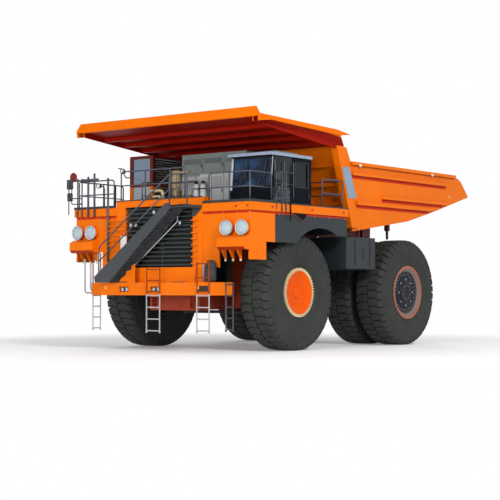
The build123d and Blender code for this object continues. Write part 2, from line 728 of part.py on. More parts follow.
def deck_side():
    """The left deck: floor plate, edge band, lamp panel and shelf, inner skirt, wing and beams."""
    outer, inner = DECK_HALF, CENTRE_HALF + 2
    panel_x = DECK_FRONT_X - PANEL_SET
    shelf_y = (outer - BAND_LIP - SHELF_WIDTH, outer - BAND_LIP)
    floor = block(DECK_REAR_X, DECK_FRONT_X, inner, outer, DECK_TOP_Z - DECK_PLATE, DECK_TOP_Z)
    band_top = DECK_TOP_Z + BAND_LIP
    band_front = block(DECK_FRONT_X - SHEET, DECK_FRONT_X + 20, inner, outer, BAND_LOW_Z, band_top)
    band_side = block(DECK_REAR_X, DECK_FRONT_X + 20, outer - SHEET, outer + 20, BAND_LOW_Z, band_top)
    panel = block(panel_x - SHEET, panel_x, inner, outer - BAND_LIP, PANEL_LOW_Z, BAND_LOW_Z)
    skirt = block(panel_x - SHEET, panel_x, inner, shelf_y[0] - 150, SKIRT_LOW_Z, PANEL_LOW_Z)
    low_z = PANEL_LOW_Z - 20
    shelf = side_cut(
        [
            (panel_x - SHEET, low_z),
            (panel_x - SHEET, SHELF_TOP_Z),
            (DECK_FRONT_X + 100, SHELF_TOP_Z),
            (DECK_FRONT_X + 280, SHELF_TOP_Z - 80),
            (DECK_FRONT_X + 280, low_z + 80),
            (DECK_FRONT_X + 200, low_z),
        ],
        *shelf_y,
    )
    wing = side_cut(
        [
            (WING_BACK_X, BAND_LOW_Z),
            (WING_BACK_X, WING_STEP_Z),
            (WING_STEP_X, WING_STEP_Z),
            (WING_STEP_X, WING_LOW_Z),
            (panel_x, WING_LOW_Z),
            (panel_x, BAND_LOW_Z),
        ],
        outer - BAND_LIP - SHEET,
        outer - BAND_LIP,
    )
    foot_z = WING_LOW_Z + 20
    gusset = [
        (panel_x - 20, low_z),
        (DECK_FRONT_X + 180, low_z),
        (DECK_FRONT_X, foot_z),
        (panel_x - 20, foot_z),
    ]
    gusset_ys = [shelf_y[0] + SHELF_WIDTH * share for share in (0.1, 0.38, 0.66)]
    gussets = [side_cut(gusset, y - 25, y + 25) for y in gusset_ys]
    under_z = DECK_TOP_Z - DECK_PLATE
    beam_xs = (1500, 300, DECK_REAR_X + 280)
    beams = [block(x - 50, x + 50, inner, outer - SHEET, BAND_LOW_Z, under_z) for x in beam_xs]
    return fused(floor, band_front, band_side, panel, skirt, shelf, wing, *gussets, *beams)


def fender():
    """The charcoal side panel above the left front wheel, with its arch, a circle at axle height."""
    outer_y = DECK_HALF - BAND_LIP
    foot_z = WING_STEP_Z
    start = math.acos((foot_z - AXLE_Z) / ARCH_R)
    sweep = start + math.acos((ARCH_BACK_Z - AXLE_Z) / ARCH_R)
    angles = [start - sweep * i / ARCH_STEPS for i in range(ARCH_STEPS + 1)]
    arch = [(ARCH_X + ARCH_R * math.sin(a), AXLE_Z + ARCH_R * math.cos(a)) for a in angles]
    front_x, back_x = WING_BACK_X - 2, DECK_REAR_X + 30
    outline = [(front_x, BAND_LOW_Z), (front_x, foot_z), *arch, (back_x, ARCH_BACK_Z), (back_x, BAND_LOW_Z)]
    return side_cut(outline, outer_y - 50, outer_y)


def deck_carriers():
    """Cross beams under the decks, standing on the collar and on the frame behind the engine."""
    reach = DECK_HALF - 120
    back_x = (DECK_REAR_X + 130, DECK_REAR_X + 430)
    collar_beam = block(-150, 150, -reach, reach, COLLAR_TOP_Z, BAND_LOW_Z)
    rear_beam = block(*back_x, -reach, reach, BAND_LOW_Z - 550, BAND_LOW_Z)
    legs = [block(*back_x, s * RAIL_Y - 150, s * RAIL_Y + 150, 2920, BAND_LOW_Z - 550) for s in (-1, 1)]
    return group(collar_beam, fused(rear_beam, *legs))


def deck_centre():
    """The raised walkway plate over the engine."""
    low_z = DECK_TOP_Z + CENTRE_LIFT
    plate = block(DECK_REAR_X, HOOD_BACK_X, -CENTRE_HALF, CENTRE_HALF, low_z, CENTRE_TOP_Z)
    rib_y = CENTRE_HALF - 30
    rib = block(DECK_REAR_X, HOOD_BACK_X, rib_y - 30, rib_y + 30, BAND_LOW_Z, low_z)
    return fused(plate, rib, mirrored(rib))


# Cab


def cab_openings():
    """The cutters for the cab's windows and its doorway."""
    z0, z1 = WINDOW_LOW_Z, WINDOW_TOP_Z
    right, left = CAB_RIGHT_Y, CAB_LEFT_Y
    windscreen = block(CAB_FRONT_X - 300, CAB_FRONT_X + 50, right + SCREEN_EDGE, left - SCREEN_EDGE, z0, z1)
    side_x, edge = CAB_FRONT_X - SIDE_WINDOW_SET, BACK_WINDOW_SET
    front_side = block(DOOR_FRONT_X + DOOR_FRAME, side_x, left - 200, left + 50, z0, z1)
    right_side = block(CAB_BACK_X + edge, side_x, right - 50, right + 200, z0, z1)
    back = block(CAB_BACK_X - 50, CAB_BACK_X + 200, right + edge, left - edge, z0, z1)
    door = block(
        DOOR_BACK_X - DOOR_GAP,
        DOOR_FRONT_X + DOOR_GAP,
        left - 200,
        left + 50,
        DOOR_LOW_Z - DOOR_GAP,
        DOOR_TOP_Z + DOOR_GAP,
    )
    return windscreen, front_side, right_side, back, door


def hinge_leaf(z, length, side):
    """One half of a door hinge: a knuckle on the hinge line and its plate to front or back."""
    knuckle_pin = bar((DOOR_FRONT_X, HINGE_Y, z), (DOOR_FRONT_X, HINGE_Y, z + length), HINGE_R, 10)
    x0, x1 = sorted((DOOR_FRONT_X, DOOR_FRONT_X + side * 80))
    return fused(knuckle_pin, block(x0, x1, CAB_LEFT_Y - 10, HINGE_Y, z, z + length))


def cab_shell():
    """The hollow cab: raked front, roof with its visor, pillars and floor, with its windows cut."""
    top_x, ceiling = CAB_FRONT_X - CAB_RAKE, CAB_TOP_Z - CAB_ROOF
    floor = DECK_TOP_Z + CAB_WALL
    outline = [
        (CAB_FRONT_X, DECK_TOP_Z),
        (CAB_FRONT_X, CAB_WAIST_Z),
        (top_x, ceiling),
        (top_x, CAB_TOP_Z),
        (CAB_BACK_X, CAB_TOP_Z),
        (CAB_BACK_X, DECK_TOP_Z),
    ]
    inside = [
        (CAB_FRONT_X - CAB_WALL, floor),
        (CAB_FRONT_X - CAB_WALL, CAB_WAIST_Z),
        (top_x - CAB_WALL, ceiling),
        (CAB_BACK_X + CAB_WALL, ceiling),
        (CAB_BACK_X + CAB_WALL, floor),
    ]
    shell = less(
        side_cut(outline, CAB_RIGHT_Y, CAB_LEFT_Y),
        side_cut(inside, CAB_RIGHT_Y + CAB_WALL, CAB_LEFT_Y - CAB_WALL),
    )
    visor = block(top_x - 5, CAB_FRONT_X + 60, CAB_RIGHT_Y - 30, CAB_LEFT_Y + 30, CAB_TOP_Z - 60, CAB_TOP_Z)
    hinges = [hinge_leaf(z - 50 - CLEAR, 50, 1) for z in HINGE_HEIGHTS]
    return fused(less(shell, *cab_openings()), visor, *hinges)


def cab_glass():
    """The fixed panes: windscreen, side windows and rear window, each inside its opening."""
    rake = CAB_RAKE / (CAB_TOP_Z - CAB_ROOF - CAB_WAIST_Z)

    def screen_x(z):
        return CAB_FRONT_X - 25 - (z - CAB_WAIST_Z) * rake

    z0, z1 = WINDOW_LOW_Z + CLEAR, WINDOW_TOP_Z - CLEAR
    right, left = CAB_RIGHT_Y, CAB_LEFT_Y
    windscreen = side_cut(
        [(screen_x(z0), z0), (screen_x(z0) - GLASS, z0), (screen_x(z1) - GLASS, z1), (screen_x(z1), z1)],
        right + SCREEN_EDGE + CLEAR,
        left - SCREEN_EDGE - CLEAR,
    )
    x0, x1 = DOOR_FRONT_X + DOOR_FRAME + CLEAR, CAB_FRONT_X - SIDE_WINDOW_SET - CLEAR
    edge = BACK_WINDOW_SET + CLEAR
    front_side = block(x0, x1, left - GLASS_SET, left - GLASS_SET + GLASS, z0, z1)
    right_side = block(CAB_BACK_X + edge, x1, right + 20, right + 20 + GLASS, z0, z1)
    back_x = CAB_BACK_X + 20
    back = block(back_x, back_x + GLASS, right + edge, left - edge, z0, z1)
    return group(windscreen, front_side, right_side, back)


def door_pane(y0, y1, play):
    """The window of the door, as a cutter or as the pane that fills it with some play."""
    return block(
        DOOR_BACK_X + DOOR_FRAME + play,
        DOOR_FRONT_X - DOOR_FRAME - play,
        y0,
        y1,
        WINDOW_LOW_Z + play,
        DOOR_TOP_Z - DOOR_FRAME - play,
    )


def cab_door():
    """The door leaf with its window cut and the two hinge knuckles on its front edge."""
    leaf = block(DOOR_BACK_X, DOOR_FRONT_X, CAB_LEFT_Y - CAB_WALL, CAB_LEFT_Y, DOOR_LOW_Z, DOOR_TOP_Z)
    leaf = less(leaf, door_pane(CAB_LEFT_Y - 200, CAB_LEFT_Y + 50, 0))
    return fused(leaf, *[hinge_leaf(z, HINGE_LENGTH, -1) for z in HINGE_HEIGHTS])


def door_glass():
    """The pane in the door."""
    return door_pane(CAB_LEFT_Y - GLASS_SET, CAB_LEFT_Y - GLASS_SET + GLASS, CLEAR)


def cab_interior():
    """The operator's seat and the console with its steering wheel, seen through the glass."""
    floor = DECK_TOP_Z + CAB_WALL
    y = (CAB_RIGHT_Y + CAB_LEFT_Y) / 2
    seat_x = CAB_FRONT_X - 1550
    base = block(seat_x, seat_x + 450, y - 220, y + 220, floor, floor + 330)
    cushion = block(seat_x - 30, seat_x + 530, y - 260, y + 260, floor + 330, floor + 470)
    back = side_cut(
        [
            (seat_x - 50, floor + 400),
            (seat_x + 80, floor + 400),
            (seat_x - 80, floor + 1130),
            (seat_x - 190, floor + 1130),
        ],
        y - 250,
        y + 250,
    )
    front_x = CAB_FRONT_X - CAB_WALL - 10
    console = side_cut(
        [
            (front_x, floor),
            (front_x, CAB_WAIST_Z - 10),
            (front_x - 330, CAB_WAIST_Z + 60),
            (front_x - 480, CAB_WAIST_Z - 100),
            (front_x - 380, floor),
        ],
        CAB_RIGHT_Y + 150,
        CAB_LEFT_Y - 150,
    )
    column = bar((front_x - 400, y, floor + 350), (front_x - 560, y, floor + 570), 35)
    wheel = bar((front_x - 550, y, floor + 560), (front_x - 568, y, floor + 580), 215, 16)
    return group(fused(base, cushion, back), fused(console, column, wheel))


# Deck equipment


def control_cabinet():
    """The pale electrical cabinet in the middle of the deck: a tall rear block and a lower nose."""
    tall = block(*CABINET_X, CABINET_RIGHT_Y, CABINET_LEFT_Y, CENTRE_TOP_Z, CABINET_TOP_Z)
    low = block(CABINET_X[1], CABINET_NOSE_X, NOSE_SIDE_Y, CABINET_LEFT_Y, CENTRE_TOP_Z, CABINET_LOW_TOP_Z)
    return fused(tall, low)


def resistor_frame():
    """The brake-resistor housing on the right deck: four posts and three sills."""
    (x0, x1), half = BOX_X, BOX_POST / 2
    posts = [
        block(x - half, x + half, y - half, y + half, DECK_TOP_Z, BOX_TOP_Z)
        for x in (x0 + half, x1 - half)
        for y in (BOX_OUTER_Y + half, BOX_INNER_Y - half)
    ]
    sills = [
        block(x0, x1, BOX_OUTER_Y, BOX_INNER_Y, z, z + BOX_SILL)
        for z in (DECK_TOP_Z, BOX_MID_Z, BOX_TOP_Z - BOX_SILL)
    ]
    return fused(*posts, *sills)


def resistor_panels():
    """The louvred banks inside the resistor housing, between its sills and clear of its posts."""
    (x0, x1), inset = BOX_X, 60
    y0, y1 = BOX_OUTER_Y + inset, BOX_INNER_Y - inset
    post = BOX_POST + CLEAR
    banks = [
        block(x0 + inset, x1 - inset, y0, y1, low + BOX_SILL + CLEAR, high - CLEAR)
        for low, high in ((DECK_TOP_Z, BOX_MID_Z), (BOX_MID_Z, BOX_TOP_Z - BOX_SILL))
    ]
    corners = [
        block(*sorted((x, x + sx * post)), *sorted((y, y + sy * post)), DECK_TOP_Z, BOX_TOP_Z)
        for x, sx in ((x0, 1), (x1, -1))
        for y, sy in ((BOX_OUTER_Y, 1), (BOX_INNER_Y, -1))
    ]
    return less(group(*banks), *corners)


def accumulators():
    """Upright brake accumulators in a row in front of the cabinet's nose, and the grease tank that
    stands on the left end of the bumper."""
    x, foot_z = CABINET_NOSE_X + 200, CENTRE_TOP_Z
    top_z = foot_z + ACCUMULATOR_HEIGHT
    ys = [NOSE_SIDE_Y + 40 + ACCUMULATOR_PITCH * i for i in range(2)]
    upright = [bar((x, y, foot_z), (x, y, top_z), ACCUMULATOR_R, 10) for y in ys]
    middle = (DECK_FRONT_X + GREASE_R + 5, BUMPER_HALF - GREASE_R - 90)
    lifts = (0, GREASE_HEIGHT, GREASE_HEIGHT + 70)
    foot, shoulder, crown = [(*middle, BUMPER_TOP_Z + lift) for lift in lifts]
    tank_side = bar(foot, shoulder, GREASE_R, 12)
    return group(*upright, fused(tank_side, bar(shoulder, crown, GREASE_R - 60, 12)))


def air_cleaners():
    """Two upright air cleaners beside the resistor housing with a duct across their tops."""
    y, top_z = CLEANER_Y, CLEANER_TOP_Z
    drums = [bar((x, y, DECK_TOP_Z), (x, y, top_z), CLEANER_R, 16) for x in CLEANER_XS]
    duct_z = top_z - 150
    duct = bar((CLEANER_XS[0], y, duct_z), (CLEANER_XS[1], y, duct_z), 120, 8)
    return fused(*drums, duct)


def grille_lamp_pair(y, z):
    """Two small work lamps side by side on a plate across the front edges of the louvres."""
    seat_x = DECK_FRONT_X - LOUVRE_SET + LOUVRE_DEPTH + CLEAR
    backing = block(seat_x, seat_x + 20, y - 170, y + 170, z - 75, z + 75)
    middles = [(y + s * 100, z) for s in (-1, 1)]
    return fused(backing, *[bar((seat_x, *m), (seat_x + 85, *m), GRILLE_LAMP_R, 8) for m in middles])


def lamps():
    """Two pairs of big headlamps on the front panels, two pairs of small ones in the bumper and two
    pairs on the grille."""
    face_x = DECK_FRONT_X - PANEL_SET
    front_x, outer_y = face_x + LAMP_DEPTH, DECK_HALF - LAMP_EDGE
    ys = (outer_y - LAMP_PITCH, outer_y)
    big = [bar((face_x, y, LAMP_Z), (front_x, y, LAMP_Z), LAMP_R, 16) for y in ys]
    pocket_x = BUMPER_X - SPOT_POCKET
    small = [
        bar((pocket_x, y + s * 90, SPOT_Z), (pocket_x + 60, y + s * 90, SPOT_Z), SPOT_R, 8)
        for y in SPOT_YS
        for s in (-1, 1)
    ]
    return group(both_sides(*big), *small, *[grille_lamp_pair(y, z) for y, z in GRILLE_LAMPS])


def hand_rail(posts, top_z, base_z):
    """A rail: an upright tube at each (x, y) post, a top tube and a middle tube along them."""
    tubes = [tube((x, y, base_z), (x, y, top_z)) for x, y in posts]
    for z in (top_z, (top_z + base_z) / 2 + 40):
        for (xa, ya), (xb, yb) in zip(posts, posts[1:]):
            tubes.append(tube((xa, ya, z), (xb, yb, z)))
    return fused(*tubes)


def stair_rail():
    """The handrail of the stair and its landing, on the outer stringer."""
    (foot_y, foot_z), (head_y, head_z) = STAIR_FOOT, STAIR_HEAD
    x = STAIR_FRONT_X - STRINGER - RAIL_TUBE / 2 - CLEAR
    low_y, low_z, end_y = foot_y + 100, foot_z + 180, LANDING_END_Y - 30
    posts = [(low_y, low_z), (head_y, head_z), (end_y, head_z)]
    tubes = [tube((x, y, z), (x, y, z + RAIL_HEIGHT)) for y, z in posts]
    for lift in (RAIL_HEIGHT, RAIL_HEIGHT / 2):
        for (ya, za), (yb, zb) in zip(posts, posts[1:]):
            tubes.append(tube((x, ya, za + lift), (x, yb, zb + lift)))
    return fused(*tubes)


def handrails():
    """Handrails round both decks and up the stair, clear of the cab door's swing."""
    edge = DECK_HALF - RAIL_INSET
    front_x, back_x = DECK_FRONT_X - RAIL_INSET, DECK_REAR_X + RAIL_BACK
    inner = CENTRE_HALF + 180
    base, top = DECK_TOP_Z, DECK_TOP_Z + RAIL_HEIGHT
    runs = [
        [(front_x, -inner), (front_x, -edge), (CAB_FRONT_X + 100, -edge), (BOX_X[1] + 50, -edge)],
        [(BOX_X[0] - 100, -edge), (back_x, -edge), (back_x, -inner)],
        [(front_x, inner), (front_x, (inner + edge) / 2), (front_x, edge), (CAB_FRONT_X + 180, edge)],
        [(CAB_BACK_X - 400, edge), (back_x, edge), (back_x, inner)],
    ]
    return group(*[hand_rail(run, top, base) for run in runs], stair_rail())


def stair():
    """The diagonal stair from the bumper's right end up to the left of the hood, with its landing."""
    (foot_y, foot_z), (head_y, head_z) = STAIR_FOOT, STAIR_HEAD
    outer_x, inner_x = STAIR_FRONT_X, STAIR_FRONT_X - STAIR_WIDTH
    slope = (head_z - foot_z) / (head_y - foot_y)
    plate = STRINGER
    outline = [
        (foot_y, foot_z),
        (foot_y - 40, foot_z + 160),
        (head_y - 100, head_z + 60),
        (head_y + 60, head_z + 60),
        (head_y + 60, head_z - 80),
        (foot_y + STAIR_BAND / slope, foot_z),
    ]
    sides = [front_cut(outline, x, x + plate) for x in (outer_x - plate, inner_x)]
    treads = []
    for i in range(1, STAIR_TREADS + 1):
        share = i / (STAIR_TREADS + 1)
        y = foot_y + share * (head_y - foot_y)
        z = foot_z + share * (head_z - foot_z)
        treads.append(block(inner_x + plate - 10, outer_x - plate + 10, y - 20, y + 210, z - 60, z - 20))
    landing = block(inner_x, outer_x, head_y + 60, LANDING_END_Y, head_z - 60, head_z)
    front_x = DECK_FRONT_X
    bridge = block(front_x + 30, inner_x + 5, head_y + 100, LANDING_END_Y, head_z - 60, head_z)
    bracket = block(front_x + CLEAR, front_x + 40, GRILLE_HALF + 10, LANDING_END_Y, head_z - 300, head_z)
    return fused(*sides, *treads, landing, bridge, bracket)


def ladder(x, y, width, z0, z1, along_x=False, rail=0):
    """Two flat stiles with rungs, which may run on above them as rails; it faces forward, or
    sideways where along_x is set."""
    dx, dy = (width / 2, 0) if along_x else (0, width / 2)
    half = LADDER_STILE / 2
    feet = ((x - dx, y - dy), (x + dx, y + dy))
    stiles = [block(a - half, a + half, b - half, b + half, z0, z1 + rail) for a, b in feet]
    count = round((z1 - z0) / RUNG_PITCH)
    rungs = []
    for i in range(count):
        z = z0 + 50 + i * (z1 - z0 - 100) / (count - 1)
        rungs.append(bar((x - dx, y - dy, z), (x + dx, y + dy, z), LADDER_RUNG_R, 4))
    return group(*stiles, *[less(rung, *stiles) for rung in rungs])


def ladders():
    """Boarding ladders: two on the bumper's face and one at each of its ends."""
    off = LADDER_STILE / 2 + CLEAR
    x, end_y = BUMPER_X + off, BUMPER_HALF + off
    middle = ladder(x, 135, 520, 560, GUARD_TOP_Z)
    left = ladder(x, 2060, 460, 590, GUARD_TOP_Z + 150)
    right_rail = PANEL_LOW_Z - BUMPER_TOP_Z - 30
    right_end = ladder(BUMPER_X - 250, -end_y, 330, 600, BUMPER_TOP_Z, True, right_rail)
    left_end = ladder(BUMPER_X - BUMPER_DEPTH + 200, end_y, 330, 620, BUMPER_TOP_Z, True)
    return group(middle, left, right_end, left_end)


def mirror(x, y, arm_y):
    """A mirror frame: two posts on the deck's edge, two arms out from one of them and two heads."""
    top_z, out_x, out_y = MIRROR_TOP_Z, x + MIRROR_OUT, y + arm_y
    second = (x, y - 190) if arm_y < -190 else (x - 200, y)
    levels = (top_z - 60, top_z - 630)
    feet = ((x, y), second)
    tubes = [tube((px, py, BAND_LOW_Z), (px, py, top_z)) for px, py in feet]
    tubes += [tube((x, y, z), (out_x, out_y, z)) for z in levels]
    tubes.append(tube((out_x, out_y, levels[1] - 140), (out_x, out_y, top_z - 40)))
    heads = [
        block(out_x - 60, out_x - 20, out_y - half, out_y + half, z0, z1)
        for half, z0, z1 in ((125, top_z - 330, top_z - 30), (105, top_z - 730, top_z - 470))
    ]
    return fused(*tubes, *heads)


def mirrors():
    """Mirror frames: on the right deck's front corner and on the left deck's side edge."""
    off = 20 + RAIL_TUBE / 2 + CLEAR
    right = mirror(DECK_FRONT_X + off, MIRROR_REACH - DECK_HALF, -MIRROR_REACH)
    left = mirror(1350, DECK_HALF + off, -MIRROR_TUCK)
    return group(left, right)


# Dump body; its side view is read from front to back


BODY_UNDER = [(-2740, 3690), (-6100, 4140), (-7940, 4570), (TAIL_X, 5180)]


def body_under_z(x):
    """Height of the body's lower edge at x."""
    for (xa, za), (xb, zb) in zip(BODY_UNDER, BODY_UNDER[1:]):
        if x >= xb:
            return za + (x - xa) * (zb - za) / (xb - xa)
    return BODY_UNDER[-1][1]


def headboard_x(z):
    """Front face of the body's leaning front wall at height z."""
    return BODY_UNDER[0][0] + (z - BODY_UNDER[0][1]) * HEADBOARD_LEAN


def floor_top():
    """The floor plate's upper line, its front end in the leaning plane of the front wall."""
    front_z = BODY_UNDER[0][1] + FLOOR_PLATE
    return [(headboard_x(front_z), front_z), *[(x, z + FLOOR_PLATE) for x, z in BODY_UNDER[1:]]]


def body_floor():
    """The floor plate, kinked up to the tail."""
    return side_cut([*BODY_UNDER, *reversed(floor_top())], -BODY_HALF + SIDE_PLATE, BODY_HALF - SIDE_PLATE)


def side_outline():
    """The side plate seen from the left."""
    top_x = headboard_x(HEADBOARD_TOP_Z)
    return [
        *BODY_UNDER,
        (TAIL_X + 540, TOP_RAIL_Z - 190),
        (TAIL_X + 1050, TOP_RAIL_Z),
        (top_x - 760, TOP_RAIL_Z),
        (top_x - 520, HEADBOARD_TOP_Z),
        (top_x, HEADBOARD_TOP_Z),
    ]


def body_side():
    """The left side plate with its top rail, level ribs and the front bolster."""
    plate = side_cut(side_outline(), BODY_HALF - SIDE_PLATE, BODY_HALF)
    # columns: front x, rear x, height of each rib's middle
    rows = ((-2650, -8660, 5520), (-4430, -8720, 4850), (-2900, -7700, 4590))
    half = RIB_TALL / 2
    rib_y = BODY_HALF + RIB_OUT
    ribs = [block(rear, front, BODY_HALF, rib_y, z - half, z + half) for front, rear, z in rows]
    top = block(TAIL_X + 1050, -2600, BODY_HALF, rib_y, TOP_RAIL_Z - RIB_TALL, TOP_RAIL_Z)
    low_z = BODY_UNDER[0][1] + 110
    outer_y = BODY_HALF + BOLSTER_OUT
    column = leaning_bar(low_z, HEADBOARD_TOP_Z, BOLSTER_FRONT, BODY_HALF, outer_y, BOLSTER_BACK)
    front_y = outer_y - BOLSTER_WIDTH
    nose = leaning_bar(low_z, HEADBOARD_TOP_Z, BOLSTER_FRONT, front_y, BODY_HALF, -CLEAR)
    return fused(plate, *ribs, top, column, nose)


def leaning_bar(low_z, high_z, depth, y0, y1, sunk=5):
    """A bar on the front wall's face, as deep as given, between two heights."""
    return side_cut(
        [
            (headboard_x(low_z) - sunk, low_z),
            (headboard_x(low_z) + depth, low_z),
            (headboard_x(high_z) + depth, high_z),
            (headboard_x(high_z) - sunk, high_z),
        ],
        y0,
        y1,
    )


def headboard():
    """The leaning front wall of the load space with its upright and level stiffeners."""
    (front_x, front_z), (far_x, far_z) = floor_top()[:2]
    thick, z0, z1 = HEADBOARD_PLATE, front_z + CLEAR, HEADBOARD_TOP_Z
    rise = thick * (far_z - front_z) / (front_x - far_x) * 1.05
    half = BODY_HALF - SIDE_PLATE
    wall = side_cut(
        [
            (headboard_x(z0), z0),
            (headboard_x(z1), z1),
            (headboard_x(z1) - thick, z1),
            (headboard_x(z0) - thick, z0 + rise),
        ],
        -half,
        half,
    )
    reach = BODY_HALF + BOLSTER_OUT - BOLSTER_WIDTH - CLEAR
    high_z = HEADBOARD_TOP_Z - 200
    ys = (-0.6 * reach, 0, 0.6 * reach)
    uprights = [leaning_bar(4000, high_z, 70, y - 50, y + 50) for y in ys]
    levels = [leaning_bar(z, z + 100, 70, -reach, reach) for z in (4500, 5100, 5700)]
    return fused(wall, *uprights, *levels)


def canopy_top_z(x):
    """Height of the canopy plate's upper face at x."""
    back_x = headboard_x(HEADBOARD_TOP_Z)
    back_z = HEADBOARD_TOP_Z + CANOPY_PLATE
    return back_z + (x - back_x) * (CANOPY_FRONT_Z - back_z) / (CANOPY_FRONT_X - back_x)


def flare(front_x, front_z, in_x, in_z, out_x, out_z):
    """The canopy's left edge, a plate that rises outwards from the flat plate to the side band. Its
    inner and outer lines have different slopes, so each twisted face is made of two triangles."""
    in_y, out_y, thick = BODY_HALF + BOLSTER_OUT - 10, CANOPY_HALF - CANOPY_FLANGE / 2, CANOPY_PLATE
    low = [
        Vector(front_x, in_y, front_z),
        Vector(front_x, out_y, front_z + 20),
        Vector(out_x, out_y, out_z),
        Vector(in_x, in_y, in_z),
    ]
    high = [p + Vector(0, 0, thick) for p in low]
    rings = [[low[i], low[(i + 1) % 4], high[(i + 1) % 4], high[i]] for i in range(4)]
    rings += [[s[0], s[1], s[2]] for s in (low, high)] + [[s[0], s[2], s[3]] for s in (low, high)]
    return Solid(Shell([Face(Wire.make_polygon(ring, close=True)) for ring in rings]))


def canopy():
    """The rock canopy over the decks: a sloped plate with flared edges and a band along each of
    them, a front lip, and cross beams between two skirts below."""
    back_x, back_z = headboard_x(HEADBOARD_TOP_Z), HEADBOARD_TOP_Z
    front_x, front_z, thick = CANOPY_FRONT_X, CANOPY_FRONT_Z, CANOPY_PLATE
    tip_x, tip_z = CANOPY_TIP
    flat_y = BODY_HALF + BOLSTER_OUT
    plate = side_cut(
        [
            (front_x, front_z),
            (front_x, front_z - thick),
            (back_x + BOLSTER_FRONT, canopy_top_z(back_x + BOLSTER_FRONT) - thick),
            (back_x, back_z),
            (back_x - BOLSTER_BACK, back_z),
            (back_x - BOLSTER_BACK, back_z + thick),
            (back_x, back_z + thick),
        ],
        -flat_y,
        flat_y,
    )
    lip = side_cut(
        [
            (front_x - 60, front_z - thick),
            (front_x + 30, front_z - thick),
            (front_x - 20, front_z + CANOPY_LIP),
            (front_x - 80, front_z + CANOPY_LIP),
        ],
        -CANOPY_HALF,
        CANOPY_HALF,
    )
    corner = front_cut(
        [
            (CANOPY_HALF, front_z),
            (CANOPY_HALF - CANOPY_LIP_SLOPE, front_z + CANOPY_LIP + 1),
            (CANOPY_HALF + 1, front_z + CANOPY_LIP + 1),
            (CANOPY_HALF + 1, front_z),
        ],
        front_x - 200,
        front_x + 200,
    )
    low_z = front_z - CANOPY_BAND - 50
    band = side_cut(
        [
            (front_x, low_z),
            (front_x, front_z + 20),
            (tip_x + 740, tip_z + 100),
            (tip_x, tip_z),
            (tip_x + 560, tip_z - 70),
            (front_x - 600, front_z - CANOPY_BAND + 30),
        ],
        CANOPY_HALF - CANOPY_FLANGE,
        CANOPY_HALF,
    )
    edge = flare(front_x - 50, front_z - thick, back_x - BOLSTER_BACK, back_z, tip_x + 560, tip_z - 70)
    ends = (back_x + BOLSTER_FRONT + 60, front_x - 60)
    upper = [(x, canopy_top_z(x) - 5) for x in ends]
    lower = [(x, canopy_top_z(x) - thick - CANOPY_SKIRT) for x in ends]
    skirt = side_cut([*upper, *reversed(lower)], flat_y - 40, flat_y - 10)
    beams = []
    for share in (0.16, 0.36, 0.56, 0.76):
        x = back_x + share * (front_x - back_x)
        low_a, low_b = canopy_top_z(x) - thick, canopy_top_z(x + 120) - thick
        drop = CANOPY_SKIRT - 20
        section = [(x, low_a + 5), (x + 120, low_b + 5), (x + 120, low_b - drop), (x, low_a - drop)]
        beams.append(side_cut(section, 30 - flat_y, flat_y - 30))
    sides = both_sides(band, edge, skirt)
    return fused(plate, less(lip, corner, mirrored(corner)), *beams, sides)


def body_rails():
    """The two long beams under the floor that lie on the frame, with the pivot ears at their ends."""
    z_low = RAIL_REAR_TOP_Z + BODY_RAIL_GAP
    front_x, slope_x, end_x = -2900, -6100, PIVOT_X + 250
    beam = side_cut(
        [
            (front_x, z_low + 120),
            (front_x, body_under_z(front_x)),
            (slope_x, body_under_z(slope_x)),
            (end_x, body_under_z(end_x)),
            (PIVOT_X + 450, z_low),
            (front_x - 400, z_low),
        ],
        RAIL_Y - BODY_RAIL_HALF,
        RAIL_Y + BODY_RAIL_HALF,
    )
    ear_outline = [
        (PIVOT_X + 260, PIVOT_Z + 500),
        (PIVOT_X + 200, PIVOT_Z - 60),
        (PIVOT_X + 80, PIVOT_Z - 190),
        (PIVOT_X - 80, PIVOT_Z - 190),
        (PIVOT_X - 200, PIVOT_Z - 60),
        (PIVOT_X - 260, body_under_z(PIVOT_X - 260)),
        (PIVOT_X + 300, body_under_z(PIVOT_X + 300)),
    ]
    hole = bore((PIVOT_X, 0, PIVOT_Z), (PIVOT_X, 1500, PIVOT_Z), PIVOT_R, PIN_SIDES)
    ear_ys = (RAIL_OUTER_Y + EAR_GAP, RAIL_INNER_Y - EAR_GAP - EAR_PLATE)
    ears = [less(side_cut(ear_outline, y, y + EAR_PLATE), hole) for y in ear_ys]
    return both_sides(beam, *ears)


def rock_ejectors():
    """Bars that hang between the twin rear tyres from brackets under the body."""
    y = (REAR_OUTER_Y + REAR_INNER_Y) / 2
    x = REAR_AXLE_X - EJECTOR_BACK
    seat_z = body_under_z(x + 70) - CLEAR
    bracket = block(x - 70, x + 70, y - 70, y + 70, seat_z - 330, seat_z)
    hanging = bar((x, y, 2 * TYRE_R + 60), (x, y, seat_z - 60), 45, 4)
    return both_sides(fused(hanging, bracket))


# Hoist cylinders


def hoist_axis():
    """Foot point, unit direction and length of the folded left hoist."""
    foot = Vector(HOIST_FOOT[0], HOIST_Y, HOIST_FOOT[1])
    head = Vector(HOIST_HEAD[0], HOIST_Y, HOIST_HEAD[1])
    run = head - foot
    return foot, run.normalized(), run.length


def hoist_point(distance):
    """A point on the left hoist's axis, measured from its foot pin."""
    foot, direction, _ = hoist_axis()
    return tuple(foot + direction * distance)


